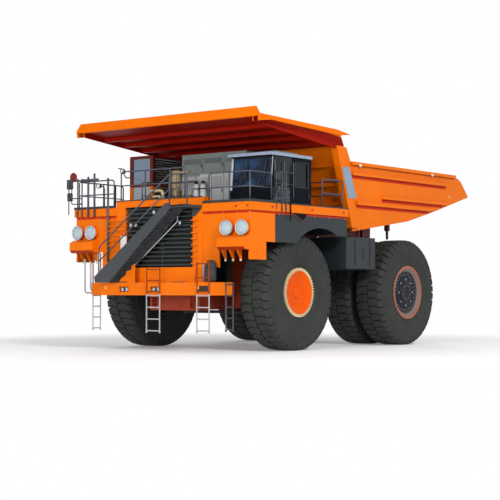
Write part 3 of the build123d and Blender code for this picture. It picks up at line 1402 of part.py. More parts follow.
def hoist_barrel():
    """The outer barrel with its foot eye."""
    _, _, length = hoist_axis()
    outside = bar(hoist_point(110), hoist_point(length - 400), HOIST_BARREL_R, HOIST_SIDES)
    inside = bar(hoist_point(170), hoist_point(length - 200), HOIST_STAGE_R + CLEAR, HOIST_SIDES)
    x, z = HOIST_FOOT
    eye = bar((x, HOIST_Y - 75, z), (x, HOIST_Y + 75, z), 130, 12)
    hole = bore((x, HOIST_Y - 90, z), (x, HOIST_Y + 90, z), HOIST_PIN_R, 12)
    return less(fused(less(outside, inside), eye), hole)


def hoist_stage():
    """The middle stage inside the barrel."""
    _, _, length = hoist_axis()
    outside = bar(hoist_point(180), hoist_point(length - 320), HOIST_STAGE_R, HOIST_SIDES)
    inside = bar(hoist_point(220), hoist_point(length - 100), HOIST_ROD_R + CLEAR, HOIST_SIDES)
    return less(outside, inside)


def hoist_rod():
    """The inner rod with the head eye."""
    _, _, length = hoist_axis()
    shank = fused(
        bar(hoist_point(230), hoist_point(length - 215), HOIST_ROD_R, HOIST_SIDES),
        bar(hoist_point(length - 230), hoist_point(length - 60), HOIST_NECK_R, 8),
    )
    x, z = HOIST_HEAD
    eye = bar((x, HOIST_Y - HOIST_EYE_HALF, z), (x, HOIST_Y + HOIST_EYE_HALF, z), HOIST_EYE_R, 12)
    hole = bar((x, HOIST_Y - 90, z), (x, HOIST_Y + 90, z), HOIST_PIN_R, 12)
    return less(fused(shank, eye), hole)


def hoist_brackets():
    """Ears under the floor on each side of the hoist head; the pin is left out so the eye may drift."""
    x, z = HOIST_HEAD
    back_x, front_x = x - 2 * HOIST_EYE_R, x + 2 * HOIST_EYE_R
    low_z = z - HOIST_EYE_R + 10
    outline = [
        (back_x, body_under_z(back_x)),
        (front_x, body_under_z(front_x)),
        (x + HOIST_EYE_R, low_z),
        (x - HOIST_EYE_R, low_z),
    ]
    reach = HOIST_EYE_HALF + HOIST_EAR_GAP
    ears = [side_cut(outline, y, y + HOIST_EAR) for y in (HOIST_Y - reach - HOIST_EAR, HOIST_Y + reach)]
    return both_sides(*ears)


def all_nodes():
    """Every piece by its node name."""
    tyre, rim = front_wheel_pieces()
    rear_tyres, rear_rims = rear_wheel_pieces()
    sided = {
        "front_tyre": tyre,
        "front_rim": rim,
        "rear_tyres": rear_tyres,
        "rear_rims": rear_rims,
        "knuckle": knuckle(),
        "deck": deck_side(),
        "body_side": body_side(),
        "hoist_barrel": hoist_barrel(),
        "hoist_stage": hoist_stage(),
        "hoist_rod": hoist_rod(),
    }
    nodes = {f"{name}_left": shape for name, shape in sided.items()}
    nodes.update({f"{name}_right": mirrored(shape) for name, shape in sided.items()})
    nodes.update(
        {
            "main_frame": main_frame(),
            "suspension_struts": suspension_struts(),
            "rear_axle": rear_axle(),
            "tie_rod": tie_rod(),
            "engine_block": engine_block(),
            "fuel_tank": tank(90),
            "hydraulic_tank": mirrored(tank(160)),
            "bumper": bumper(),
            "radiator_core": radiator_core(),
            "grille": grille(),
            "radiator_frame": radiator_frame(),
            "deck_centre": deck_centre(),
            "deck_beams": deck_carriers(),
            "fenders": both_sides(fender()),
            "cab_shell": cab_shell(),
            "cab_glass": cab_glass(),
            "cab_door": cab_door(),
            "door_glass": door_glass(),
            "cab_interior": cab_interior(),
            "control_cabinet": control_cabinet(),
            "resistor_frame": resistor_frame(),
            "resistor_panels": resistor_panels(),
            "accumulators": accumulators(),
            "air_cleaners": air_cleaners(),
            "lamps": lamps(),
            "handrails": handrails(),
            "stair": stair(),
            "ladders": ladders(),
            "mirrors": mirrors(),
            "body_floor": body_floor(),
            "body_headboard": headboard(),
            "body_canopy": canopy(),
            "body_rails": fused(body_rails(), hoist_brackets()),
            "rock_ejectors": rock_ejectors(),
        }
    )
    return nodes


def main():
    """Writes each node where the row's frame has it."""
    os.makedirs("parts", exist_ok=True)
    for name, shape in all_nodes().items():
        export_step(shape.moved(Location((ROW_SHIFT, 0, 0))), f"parts/{name}.step")


if __name__ == "__main__":
    main()
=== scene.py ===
# %% [markdown]
# # A mining dump truck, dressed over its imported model
# The steel and rubber of the truck come in as a fixed frame: every solid is already at its real
# size and place. This file gives each of them a finish, and puts the finer things on top: tread,
# rim bolts, round handrails, lamp lenses, gratings, seals and pipes. Lengths are in metres, +X is
# forward, +Y is the operator's left and +Z is up.

# %% Load the frame
import json
import math

import bpy
import numpy as np
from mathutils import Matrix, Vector

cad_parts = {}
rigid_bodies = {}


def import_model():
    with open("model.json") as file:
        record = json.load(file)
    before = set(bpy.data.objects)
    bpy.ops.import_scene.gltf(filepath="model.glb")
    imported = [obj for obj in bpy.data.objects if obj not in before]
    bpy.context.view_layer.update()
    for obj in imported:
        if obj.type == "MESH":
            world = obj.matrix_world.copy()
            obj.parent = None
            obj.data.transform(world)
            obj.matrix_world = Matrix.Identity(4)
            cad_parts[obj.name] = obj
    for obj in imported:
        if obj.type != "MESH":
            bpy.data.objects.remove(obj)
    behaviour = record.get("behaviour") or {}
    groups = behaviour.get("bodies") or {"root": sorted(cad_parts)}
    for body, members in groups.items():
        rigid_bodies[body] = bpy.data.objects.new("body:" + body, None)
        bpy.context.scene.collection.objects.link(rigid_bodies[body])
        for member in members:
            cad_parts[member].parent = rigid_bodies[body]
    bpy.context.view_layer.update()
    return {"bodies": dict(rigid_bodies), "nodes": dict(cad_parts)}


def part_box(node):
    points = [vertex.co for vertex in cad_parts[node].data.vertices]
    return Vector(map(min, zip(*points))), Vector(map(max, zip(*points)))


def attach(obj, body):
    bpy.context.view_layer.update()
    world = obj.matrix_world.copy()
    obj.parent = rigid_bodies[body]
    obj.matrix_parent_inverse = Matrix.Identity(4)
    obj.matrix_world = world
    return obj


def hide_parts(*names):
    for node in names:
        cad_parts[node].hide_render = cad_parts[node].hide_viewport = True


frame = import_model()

NODES = frame["nodes"]

# %% [markdown]
# ## Camera
# The photograph looks at the truck's front left corner from a low tripod about 45 m away, with a
# long lens. The place and lens below were solved from the truck's own level and upright edges, so
# the picture's lines run as they do in the photograph.

# %% The camera
FRONT_AXLE_X = 3.4
WHEELBASE = 5.83
REAR_AXLE_X = FRONT_AXLE_X - WHEELBASE
CAMERA_AT = Vector((FRONT_AXLE_X + 32.722, 26.750, 1.813))
HEADING, PITCH = math.radians(37.87), math.radians(1.734)
LENS_MM, SENSOR_MM, SIGHT = 96.3, 36, 500
LEVEL = math.cos(PITCH)
camera_data = bpy.data.cameras.new("camera")
camera_data.lens = LENS_MM
camera_data.sensor_width = SENSOR_MM
camera_data.clip_end = SIGHT
camera = bpy.data.objects.new("camera", camera_data)
looking = Vector((-math.cos(HEADING) * LEVEL, -math.sin(HEADING) * LEVEL, math.sin(PITCH)))
camera.location = CAMERA_AT
camera.rotation_euler = looking.to_track_quat("-Z", "Y").to_euler()
bpy.context.scene.collection.objects.link(camera)
bpy.context.scene.camera = camera
bpy.context.scene.view_settings.view_transform = "Standard"
print("camera distance", round((CAMERA_AT - Vector((0, 0, 3))).length, 1))

# %% [markdown]
# ## Light and floor
# The truck is shown on white: high light from the left and above, a well filled front, and only a
# soft grey shadow under the wheels. A large key lamp hangs high over the left side, a weak fill
# stands in front and another one behind keeps the back readable. The world casts a dim, slightly
# blue light, and is white only for rays that come from the camera, a mirror or a pane. The floor
# catches the shadow near the truck and turns into plain white further out, so no horizon shows.

# %% World, lamps and floor
def add_node(tree, kind, inputs=None, **settings):
    """A node with its settings, and each input set to a value or linked from an output socket."""
    made = tree.nodes.new(kind if kind.startswith("NodeGroup") else "ShaderNode" + kind)
    for key, value in settings.items():
        setattr(made, key, value)
    for key, value in (inputs or {}).items():
        if isinstance(value, bpy.types.NodeSocket):
            tree.links.new(value, made.inputs[key])
        else:
            made.inputs[key].default_value = value
    return made


def maths(tree, operation, *values, **settings):
    """The result of a calculation on values or sockets."""
    return add_node(tree, "Math", dict(enumerate(values)), operation=operation, **settings).outputs[0]


def ranged(tree, value, low=0.0, high=1.0, to_low=0.0, to_high=1.0, **settings):
    """A value carried over from one range to another."""
    inputs = dict(enumerate((value, low, high, to_low, to_high)))
    return add_node(tree, "MapRange", inputs, **settings).outputs[0]


def object_place(tree):
    """The point that is shaded, in object coordinates."""
    return add_node(tree, "TexCoord").outputs["Object"]


def seen_directly(tree):
    """A mask that is 1 for rays from the camera, off a mirror or through glass."""
    path = add_node(tree, "LightPath").outputs
    two = maths(tree, "MAXIMUM", path["Is Camera Ray"], path["Is Glossy Ray"])
    return maths(tree, "MAXIMUM", two, path["Is Transmission Ray"])


def glow(tree, kind, strength, colour=(1, 1, 1, 1)):
    """Plain light of a colour and strength."""
    return add_node(tree, kind, {"Color": colour, "Strength": strength}).outputs[0]


def picked(tree, factor, first, second):
    """One shader where the factor is 0 and another where it is 1."""
    return add_node(tree, "MixShader", {0: factor, 1: first, 2: second}).outputs[0]


def add_lamp(name, place, aim, side, power):
    """A square area lamp that faces a point."""
    data = bpy.data.lights.new(name, "AREA")
    data.size = side
    data.energy = power
    lamp = bpy.data.objects.new(name, data)
    lamp.location = place
    lamp.rotation_euler = (Vector(aim) - Vector(place)).to_track_quat("-Z", "Y").to_euler()
    bpy.context.scene.collection.objects.link(lamp)


world = bpy.data.worlds.new("studio")
bpy.context.scene.world = world
world.use_nodes = True
tree = world.node_tree
tree.nodes.clear()
soft = glow(tree, "Background", 0.50, (0.96, 0.98, 1.0, 1))
shown = picked(tree, seen_directly(tree), soft, glow(tree, "Background", 1.0))
add_node(tree, "OutputWorld", {"Surface": shown})

add_lamp("key", (20, 38, 22), (0, 0, 3), 9, 12400)
add_lamp("fill", (46, 6, 6), (0, 0, 4), 14, 8000)
add_lamp("back", (-34, -26, 22), (0, 0, 3), 16, 4500)

FLOOR_HALF = 160
SHADOW_FADES, ALL_WHITE = 8.5, 15.0
FLOOR_GREY, FLOOR_LIFT = 0.90, 0.16
floor_data = bpy.data.meshes.new("floor")
corners = [(x * FLOOR_HALF, y * FLOOR_HALF, 0) for x, y in ((-1, -1), (1, -1), (1, 1), (-1, 1))]
floor_data.from_pydata(corners, [], [(0, 1, 2, 3)])
floor = bpy.data.objects.new("floor", floor_data)
bpy.context.scene.collection.objects.link(floor)
floor_material = bpy.data.materials.new("floor_paint")
floor_material.use_nodes = True
tree = floor_material.node_tree
tree.nodes.clear()
matt = add_node(tree, "BsdfDiffuse", {"Color": (FLOOR_GREY, FLOOR_GREY, FLOOR_GREY, 1)}).outputs[0]
both = add_node(tree, "AddShader", {0: matt, 1: glow(tree, "Emission", FLOOR_LIFT)}).outputs[0]
reach = add_node(tree, "VectorMath", {0: object_place(tree)}, operation="LENGTH").outputs["Value"]
far = ranged(tree, reach, SHADOW_FADES, ALL_WHITE, interpolation_type="SMOOTHSTEP")
fading = picked(tree, far, both, glow(tree, "Emission", 1.0))
add_node(tree, "OutputMaterial", {"Surface": picked(tree, seen_directly(tree), matt, fading)})
floor_data.materials.append(floor_material)

# %% [markdown]
# ## Effects that the finishes share
# Paint on a working truck wears through first along its edges, holds dust where a face looks up or
# sits near the ground, and never has quite the same colour twice. Each of these is a small node
# group that gives a mask, a height or a normal, so every finish below can use it with its own
# strengths.

# %% Node groups
def noise(tree, place, scale, detail, roughness=0.5):
    """Noise over a place, from 0 to 1."""
    inputs = {"Vector": place, "Scale": scale, "Detail": detail, "Roughness": roughness}
    return add_node(tree, "TexNoise", inputs).outputs[0]


def axes(tree, vector):
    """The three parts of a vector."""
    return add_node(tree, "SeparateXYZ", {0: vector}).outputs


def true_normal(tree):
    """The direction of the face itself."""
    return add_node(tree, "NewGeometry").outputs["Normal"]


def effect(name, inputs, outputs):
    """An empty node group, the sockets it is given and the sockets it puts out. Every socket is a
    number, except a normal."""
    group = bpy.data.node_groups.new(name, "ShaderNodeTree")
    for title, value in inputs.items():
        socket = group.interface.new_socket(name=title, in_out="INPUT", socket_type="NodeSocketFloat")
        socket.default_value = value
    for title in outputs:
        kind = "NodeSocketVector" if title == "Normal" else "NodeSocketFloat"
        group.interface.new_socket(name=title, in_out="OUTPUT", socket_type=kind)
    return group, add_node(group, "NodeGroupInput").outputs, add_node(group, "NodeGroupOutput").inputs


def edge_wear_effect():
    """Worn edges: how far the rounded normal leans from the true one, broken up by noise."""
    inputs = {"Radius": 0.02, "Amount": 0.5, "Scale": 6.0}
    group, given, out = effect("worn_edges", inputs, ["Mask", "Normal"])
    rounded = add_node(group, "Bevel", {"Radius": given["Radius"]}, samples=4).outputs[0]
    pair = {0: rounded, 1: true_normal(group)}
    lean = add_node(group, "VectorMath", pair, operation="DOT_PRODUCT").outputs["Value"]
    chips = noise(group, object_place(group), given["Scale"], 6.0, 0.7)
    mask = maths(group, "MULTIPLY", ranged(group, lean, 0.97, 0.80), ranged(group, chips, 0.46, 0.62))
    group.links.new(maths(group, "MULTIPLY", mask, given["Amount"], use_clamp=True), out["Mask"])
    group.links.new(rounded, out["Normal"])
    return group


def dust_effect():
    """Settled dust: more on faces that look up, more near the ground, in soft patches."""
    group, given, out = effect("settled_dust", {"Amount": 0.4, "Top": 2.6}, ["Mask"])
    place = object_place(group)
    up = ranged(group, axes(group, true_normal(group))[2], 0.25, 1.0, to_high=0.8)
    low = ranged(group, axes(group, place)[2], given["Top"], 0.0, to_high=0.75)
    patch = ranged(group, noise(group, place, 1.7, 7.0, 0.62), 0.3, 0.72, 0.35)
    mask = maths(group, "MULTIPLY", maths(group, "MAXIMUM", up, low), patch)
    group.links.new(maths(group, "MULTIPLY", mask, given["Amount"], use_clamp=True), out["Mask"])
    return group


def cloud_effect():
    """Uneven colour: broad clouds and thin rain streaks drawn out along Z, and a fine surface height."""
    outputs = ["Clouds", "Streaks", "Height"]
    group, given, out = effect("uneven_colour", {"Scale": 1.0, "Grain": 90.0}, outputs)
    place = object_place(group)
    drawn = add_node(group, "Mapping", {"Vector": place, "Scale": (7.0, 7.0, 0.5)}).outputs[0]
    group.links.new(noise(group, place, given["Scale"], 5.0), out["Clouds"])
    group.links.new(ranged(group, noise(group, drawn, 1.6, 5.0, 0.65), 0.5, 0.74), out["Streaks"])
    group.links.new(noise(group, place, given["Grain"], 2.0), out["Height"])
    return group


EDGES, DUST, CLOUDS = edge_wear_effect(), dust_effect(), cloud_effect()
print("node groups", [g.name for g in bpy.data.node_groups])

# %% [markdown]
# ## Finishes
# A painted finish is one recipe with different numbers: the colour, a slightly darker cloud of it,
# faint streaks, the primer or steel that shows on worn edges, and dust on what looks up or is low.
# The colours are written as they look on a screen and turned into the linear values that the
# shader wants.

# %% The painted finish
def linear(red, green, blue):
    """A colour as seen on a screen, 0 to 255, as the linear values a shader takes."""
    shares = np.array([red, green, blue]) / 255
    values = np.where(shares <= 0.04045, shares / 12.92, ((shares + 0.055) / 1.055) ** 2.4)
    return (*[float(v) for v in values], 1.0)


def blended(tree, factor, first, second):
    """The mix of two colours, each a value or a socket, by a factor."""
    return add_node(tree, "Mix", {"Factor": factor, 6: first, 7: second}, data_type="RGBA").outputs[2]


def shaded(colour, red, green, blue, lift=0.0):
    """A colour with each part multiplied, and a little blue added."""
    return (colour[0] * red, colour[1] * green, colour[2] * blue + lift, 1.0)


def effect_node(tree, group, **values):
    """One of the shared effects, placed in a material with its own strengths."""
    made = add_node(tree, "Group", node_tree=group)
    for key, value in values.items():
        made.inputs[key].default_value = value
    return made.outputs


def new_finish(name, metal=0.0, gloss=0.5, coat=0.0, coat_rough=0.03):
    """A material with only a shader and its output; returns also its tree and the shader's inputs."""
    material = bpy.data.materials.new(name)
    material.use_nodes = True
    tree = material.node_tree
    tree.nodes.clear()
    shader = add_node(tree, "BsdfPrincipled", {"Metallic": metal, "Specular IOR Level": gloss})
    shader.inputs["Coat Weight"].default_value = coat
    shader.inputs["Coat Roughness"].default_value = coat_rough
    add_node(tree, "OutputMaterial", {"Surface": shader.outputs[0]})
    return material, tree, shader.inputs


def bumped(tree, height, strength, distance, **more):
    """A normal that follows a height."""
    inputs = {"Height": height, "Strength": strength, "Distance": distance, **more}
    return add_node(tree, "Bump", inputs).outputs[0]


BARE_STEEL = (150, 146, 140)
DUST_COLOUR = linear(150, 138, 122)


def shaded_inside_mask(tree, front_x, half_y):
    """Painted shade's mask: 1 on faces that don't look up, behind a given X and within a half width."""
    place = axes(tree, object_place(tree))
    mask = maths(tree, "LESS_THAN", axes(tree, true_normal(tree))[2], 0.5)
    for value, limit in ((place[0], front_x), (maths(tree, "ABSOLUTE", place[1]), half_y)):
        mask = maths(tree, "MULTIPLY", mask, maths(tree, "LESS_THAN", value, limit))
    return mask


def painted(name, seen, rough=0.42, worn=BARE_STEEL, wear=0.7, dust=0.35, gloss=0.5, top=2.6, coat=0.0,
            metal=0.0, streak=0.25, radius=0.012, under=None, shade_inside=None):
    """Paint: clouds and streaks darken it, edges wear to another colour, dust settles on it. Faces
    that look down, or lie inside given limits, may get a dark red painted shade."""
    material, tree, out = new_finish(name, metal, gloss, coat, 0.16)
    colour = linear(*seen)
    uneven = effect_node(tree, CLOUDS, Scale=0.9, Grain=120.0)
    base = blended(tree, uneven["Clouds"], colour, shaded(colour, 0.80, 0.76, 0.76))
    strength = maths(tree, "MULTIPLY", uneven["Streaks"], streak)
    base = blended(tree, strength, base, shaded(colour, 0.5, 0.5, 0.5, 0.004))
    if shade_inside:
        base = blended(tree, shaded_inside_mask(tree, *shade_inside), base, under)
    elif under:
        base = blended(tree, ranged(tree, axes(tree, true_normal(tree))[2], -0.45, -0.75), base, under)
    edges = effect_node(tree, EDGES, Radius=radius, Amount=wear, Scale=7.0)
    base = blended(tree, edges["Mask"], base, linear(*worn))
    settled = effect_node(tree, DUST, Amount=dust, Top=top)["Mask"]
    tree.links.new(blended(tree, settled, base, DUST_COLOUR), out["Base Color"])
    tree.links.new(ranged(tree, settled, to_low=rough, to_high=0.9), out["Roughness"])
    tree.links.new(bumped(tree, uneven["Height"], 0.08, 0.004, Normal=edges["Normal"]), out["Normal"])
    return material


# The dark red under colour is a painted shade, on orange faces that look down.
BODY_PAINT = {"rough": 0.45, "coat": 0.04, "worn": (190, 76, 18), "wear": 0.35, "dust": 0.05, "streak": 0.12}
BODY_PAINT["under"] = linear(142, 20, 6)
# Inside the canopy, faces that don't look up get the same painted shade.
CANOPY_SHADE_LIMITS = (5.93, 3.59)
ORANGE = painted("orange_paint", (239, 115, 2), gloss=0.09, **BODY_PAINT)
CANOPY_ORANGE = painted("canopy_paint", (238, 111, 6), gloss=0.02, shade_inside=CANOPY_SHADE_LIMITS, **BODY_PAINT)
# On the body rails and rock ejectors this dark red stands for orange paint in painted shade.
DARK_RED_AND_SHADE = painted("dark_red_and_shade_paint", (112, 30, 18), 0.5, dust=0.1, gloss=0.2)
# The frame is orange paint; this darker red-brown is a painted shade of it.
FRAME_ORANGE_SHADED = painted("frame_orange_painted_shade", (164, 58, 30), 0.55, (112, 80, 60), dust=0.2, gloss=0.2)
CHARCOAL = painted("charcoal_paint", (44, 50, 54), 0.45, (96, 98, 100), 0.4, 0.10, 0.2, coat=0.03)
CAB_BLACK = painted("cab_paint", (20, 24, 30), 0.4, (110, 120, 132), 0.6, 0.03, 0.02)
FRAME_GREY = painted("frame_grey_paint", (46, 48, 52), 0.55, (112, 98, 84), dust=0.3, gloss=0.25, top=3.2)
PALE_GREY = painted("pale_grey_paint", (184, 190, 192), 0.4, (120, 116, 110), dust=0.12, coat=0.2)
CABINET = painted("cabinet_grey_paint", (128, 140, 137), dust=0.1, gloss=0.3, coat=0.1)
RAIL_GREY = painted("rail_grey_paint", (62, 68, 80), worn=(150, 152, 156), dust=0.1, radius=0.005)
STAIR_GREY = painted(
    "stair_paint", (60, 64, 68), 0.5, (130, 132, 134), dust=0.18, gloss=0.3, top=3.0, radius=0.004
)
LADDER_GREY = painted("ladder_grey_paint", (178, 182, 184), 0.4, (110, 108, 104), dust=0.08, radius=0.004)
LADDER_RUST = painted(
    "ladder_top_paint", (152, 62, 22), 0.5, (110, 70, 50), dust=0.08, gloss=0.2, radius=0.004
)
GRILLE_GREY = painted("grille_paint", (66, 74, 76), 0.5, (120, 122, 120), dust=0.12, gloss=0.3)
# On the dark roof edge, this pale blue-grey and its near-white edges are a painted highlight.
VISOR_HIGHLIGHT = painted("visor_painted_highlight", (140, 156, 178), 0.35, (210, 216, 222), 0.3, 0.05, coat=0.1)
# Painted shadow: red strips under the orange band and under the body's ribs.
SHADOW_RED = painted("painted_shadow_red", (200, 44, 6), 0.55, wear=0.1, dust=0.05, gloss=0.15)
DARK_TRIM = painted("dark_trim", (26, 28, 31), 0.55, (110, 114, 116), 0.5, 0.12)
COPPER = painted("copper_paint", (168, 84, 44), 0.4, (120, 60, 34), 0.5, 0.1, coat=0.1)
CREAM = painted("cream_paint", (220, 202, 160), 0.5, (140, 120, 96), dust=0.06)
HUB_BLACK = painted("hub_paint", (24, 28, 36), 0.45, (110, 114, 120), dust=0.04, gloss=0.15)
BOLT_STEEL = painted("bolt_steel", (168, 170, 172), 0.35, wear=0.3, dust=0.06, metal=0.8)
BLACK_HOLE = painted("radiator_black", (16, 17, 19), 0.7, wear=0.0, dust=0.15)
WORN_FLOOR = painted("scuffed_steel", (132, 118, 104), 0.5, wear=0.5, dust=0.7, top=6.0, metal=0.6)
print("painted finishes", len(bpy.data.materials))

# %% [markdown]
# Rubber, glass, chrome and lamp lenses need recipes of their own. Rubber is dark and matt, with
# grey-brown dust in patches. The panes of the cab are deep blue in the photograph, because they
# mirror the sky, so the glass is tinted. A hoist rod is polished chrome with a film of oil.

# %% Rubber, glass, chrome and lenses
def rubber_finish():
    """Tyre rubber: dark grey, dust in broad patches and on faces that look up, a grainy surface."""
    material, tree, out = new_finish("tyre_rubber", gloss=0.25)
    uneven = effect_node(tree, CLOUDS, Scale=3.0, Grain=45.0)
    base = blended(tree, uneven["Clouds"], linear(28, 31, 30), linear(54, 57, 55))
    settled = effect_node(tree, DUST, Amount=0.22, Top=3.5)
    base = blended(tree, settled["Mask"], base, linear(98, 96, 88))
    edges = effect_node(tree, EDGES, Radius=0.03, Amount=0.7, Scale=12.0)
    tree.links.new(blended(tree, edges["Mask"], base, linear(88, 88, 88)), out["Base Color"])
    out["Roughness"].default_value = 0.78
    tree.links.new(bumped(tree, uneven["Height"], 0.5, 0.010), out["Normal"])
    return material


def glass_finish(name, colour, through):
    """Tinted safety glass, lighter and darker in broad patches as a painted reflection. Rain streaks vary
    its roughness, and the tint lets a share of the light through.
    """
    material, tree, out = new_finish(name)
    uneven = effect_node(tree, CLOUDS, Scale=1.3, Grain=40.0)
    patch = ranged(tree, uneven["Clouds"], 0.40, 0.54)
    tint = blended(tree, patch, shaded(colour, 3.0, 2.6, 1.9), shaded(colour, 0.35, 0.35, 0.35))
    tree.links.new(tint, out["Base Color"])
    tree.links.new(ranged(tree, uneven["Streaks"], to_low=0.03, to_high=0.12), out["Roughness"])
    out["Transmission Weight"].default_value = through
    out["IOR"].default_value = 1.3
    return material


def chrome_finish():
    """Polished rod: metal with a faint oily haze."""
    material, tree, out = new_finish("polished_rod", metal=1.0)
    clouds = effect_node(tree, CLOUDS, Scale=3.0, Grain=60.0)["Clouds"]
    tree.links.new(blended(tree, clouds, linear(206, 206, 208), linear(176, 174, 170)), out["Base Color"])
    tree.links.new(ranged(tree, clouds, to_low=0.1, to_high=0.28), out["Roughness"])
    return material


def lens_finish():
    """Lamp lens: a pale gloss with rows of small prisms, a wave pattern across Y and Z."""
    material, tree, out = new_finish("lamp_lens", coat=0.4)
    place = object_place(tree)
    across, down = (
        add_node(tree, "TexWave", {"Vector": place, "Scale": scale}, bands_direction=axis).outputs["Fac"]
        for axis, scale in (("Y", 16.0), ("Z", 7.0))
    )
    tint = blended(tree, across, linear(140, 156, 164), linear(184, 198, 204))
    tree.links.new(tint, out["Base Color"])
    tree.links.new(bumped(tree, maths(tree, "ADD", across, down), 0.35, 0.004), out["Normal"])
    out["Roughness"].default_value = 0.25
    return material


RUBBER = rubber_finish()
# The deep blue of the cab panes and the pale face of the mirrors are painted reflection.
PANE = glass_finish("cab_pane", linear(14, 46, 88), 0.30)
SIDE_PANE = glass_finish("side_pane", linear(10, 18, 26), 0.10)
CHROME = chrome_finish()
LENS = lens_finish()
MIRROR_GLASS = glass_finish("mirror_face", linear(150, 164, 180), 0.0)
RED_MARK = painted("red_reflector", (168, 22, 20), 0.3, wear=0.0, dust=0.1)
AMBER_MARK = painted("amber_reflector", (236, 150, 40), 0.3, wear=0.0, dust=0.1)
WHITE_MARK = painted("white_reflector", (226, 228, 226), 0.3, wear=0.0, dust=0.1)
PLATE_BLUE = painted("blank_plate_blue", (128, 152, 174), 0.4, wear=0.2, dust=0.05, coat=0.1)
PANEL_PALE = painted("pale_panel_blue", (176, 190, 200), 0.4, wear=0.2, dust=0.05, coat=0.1)
INTERIOR = painted("cab_trim", (44, 46, 52), 0.6, wear=0.1, dust=0.1)
print("finishes in all", len(bpy.data.materials))

# %% [markdown]
# ## Finishes on the CAD pieces
# Most of the truck's plates keep their CAD mesh and only get a finish. The table names the finish
# of each node; what has a finer piece further down is hidden there.

# %% Paint the nodes
NODE_FINISHES = {
    ORANGE: "bumper radiator_frame deck_left deck_right body_side_left body_side_right body_headboard",
    CANOPY_ORANGE: "body_canopy",
    CHARCOAL: "fenders fuel_tank hydraulic_tank engine_block",
    CAB_BLACK: "cab_shell cab_door",
    FRAME_ORANGE_SHADED: "main_frame",
    FRAME_GREY: "suspension_struts rear_axle knuckle_left knuckle_right tie_rod hoist_barrel_left "
    "hoist_barrel_right deck_beams rear_rims_left rear_rims_right front_rim_left front_rim_right",
    DARK_RED_AND_SHADE: "body_rails rock_ejectors resistor_frame",
    WORN_FLOOR: "body_floor",
    CABINET: "control_cabinet",
    PALE_GREY: "accumulators resistor_panels",
    CREAM: "air_cleaners",
    GRILLE_GREY: "grille",
    BLACK_HOLE: "radiator_core",
    RUBBER: "front_tyre_left front_tyre_right rear_tyres_left rear_tyres_right",
    PANE: "cab_glass",
    SIDE_PANE: "door_glass",
    INTERIOR: "cab_interior",
    LENS: "lamps",
    RAIL_GREY: "handrails stair ladders mirrors deck_centre",
    CHROME: "hoist_stage_left hoist_stage_right hoist_rod_left hoist_rod_right",
}
for finish, names in NODE_FINISHES.items():
    for name in names.split():
        NODES[name].data.materials.clear()
        NODES[name].data.materials.append(finish)
plain = set(NODES) - {name for names in NODE_FINISHES.values() for name in names.split()}
print("nodes without a finish:", sorted(plain))

# %% [markdown]
# ## Surfaces from arrays
# Every new piece is a surface worked out in numpy. A shape is a pair: an array of points and a list
# of face arrays. The helpers below make the few kinds of surface that a truck needs: something
# turned round an axle, something carried along a path, plates cut to an outline, and rows of
# bevelled blocks.

# %% Grids, joins and the mesh itself
def volume(points, faces):
    """The volume inside a closed shape: a sixth of the sum, over the triangles of each face's fan,
    of their corners' triple product."""
    total = 0.0
    for face in faces:
        first = points[face[:, 0]]
        for k in range(1, face.shape[1] - 1):
            total += np.einsum("ij,ij->", first, np.cross(points[face[:, k]], points[face[:, k + 1]]))
    return total / 6


def outward(points, faces):
    """The same closed shape with its faces turned outwards, found from the sign of its volume."""
    return (points, faces) if volume(points, faces) > 0 else (points, [face[:, ::-1] for face in faces])


def grid_faces(rows, columns, wrap_rows=False, wrap_columns=False):
    """Quads between neighbouring points of a rows by columns grid, wrapped round where asked."""
    r = np.arange(rows if wrap_rows else rows - 1)[:, None]
    c = np.arange(columns if wrap_columns else columns - 1)[None, :]
    r2, c2 = (r + 1) % rows, (c + 1) % columns
    corners = [r * columns + c, r * columns + c2, r2 * columns + c2, r2 * columns + c]
    return np.stack([k.ravel() for k in corners], 1)


def end_caps(count, last):
    """Two faces that close a tube: its first ring, and its last, whose points begin at last."""
    return np.stack([np.arange(count)[::-1], np.arange(count) + last])


def joined(*shapes):
    """Several shapes as one, each one's faces counted on from the points before it."""
    points, faces, start = [], [], 0
    for part_points, part_faces in shapes:
        points.append(part_points)
        faces += [face + start for face in part_faces]
        start += len(part_points)
    return np.concatenate(points), faces


def moved(shape, offset):
    """The shape slid by an offset."""
    return shape[0] + np.asarray(offset, float), shape[1]


def mirrored(shape):
    """The shape on the truck's other side: y changes sign and each face is read the other way."""
    points, faces = shape
    return points * np.array([1.0, -1.0, 1.0]), [face[:, ::-1] for face in faces]


def put_piece(name, shape, finish, slot, body="chassis", nodes="", smooth=False, bevel=0.0):
    """The shape as a mesh object with a finish, riding on a CAD body and standing for its nodes."""
    points, faces = shape
    mesh = bpy.data.meshes.new(name)
    sizes = np.concatenate([np.full(len(face), face.shape[1]) for face in faces])
    corners = np.concatenate([face.ravel() for face in faces]).astype(np.int32)
    starts = np.concatenate([[0], np.cumsum(sizes)[:-1]]).astype(np.int32)
    mesh.vertices.add(len(points))
    mesh.vertices.foreach_set("co", points.astype(np.float32).ravel())
    mesh.loops.add(len(corners))
    mesh.loops.foreach_set("vertex_index", corners)
    mesh.polygons.add(len(sizes))
    mesh.polygons.foreach_set("loop_start", starts)
    mesh.polygons.foreach_set("use_smooth", np.broadcast_to(smooth, len(sizes)).tolist())
    mesh.update(calc_edges=True)
    mesh.materials.append(finish)
    piece = bpy.data.objects.new(name, mesh)
    bpy.context.scene.collection.objects.link(piece)
    if bevel:
        rounding = piece.modifiers.new("rounding", "BEVEL")
        rounding.width = bevel
        rounding.segments = 2
        rounding.limit_method = "ANGLE"
    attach(piece, body)
    for node in nodes.split():
        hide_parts(node)
    return piece


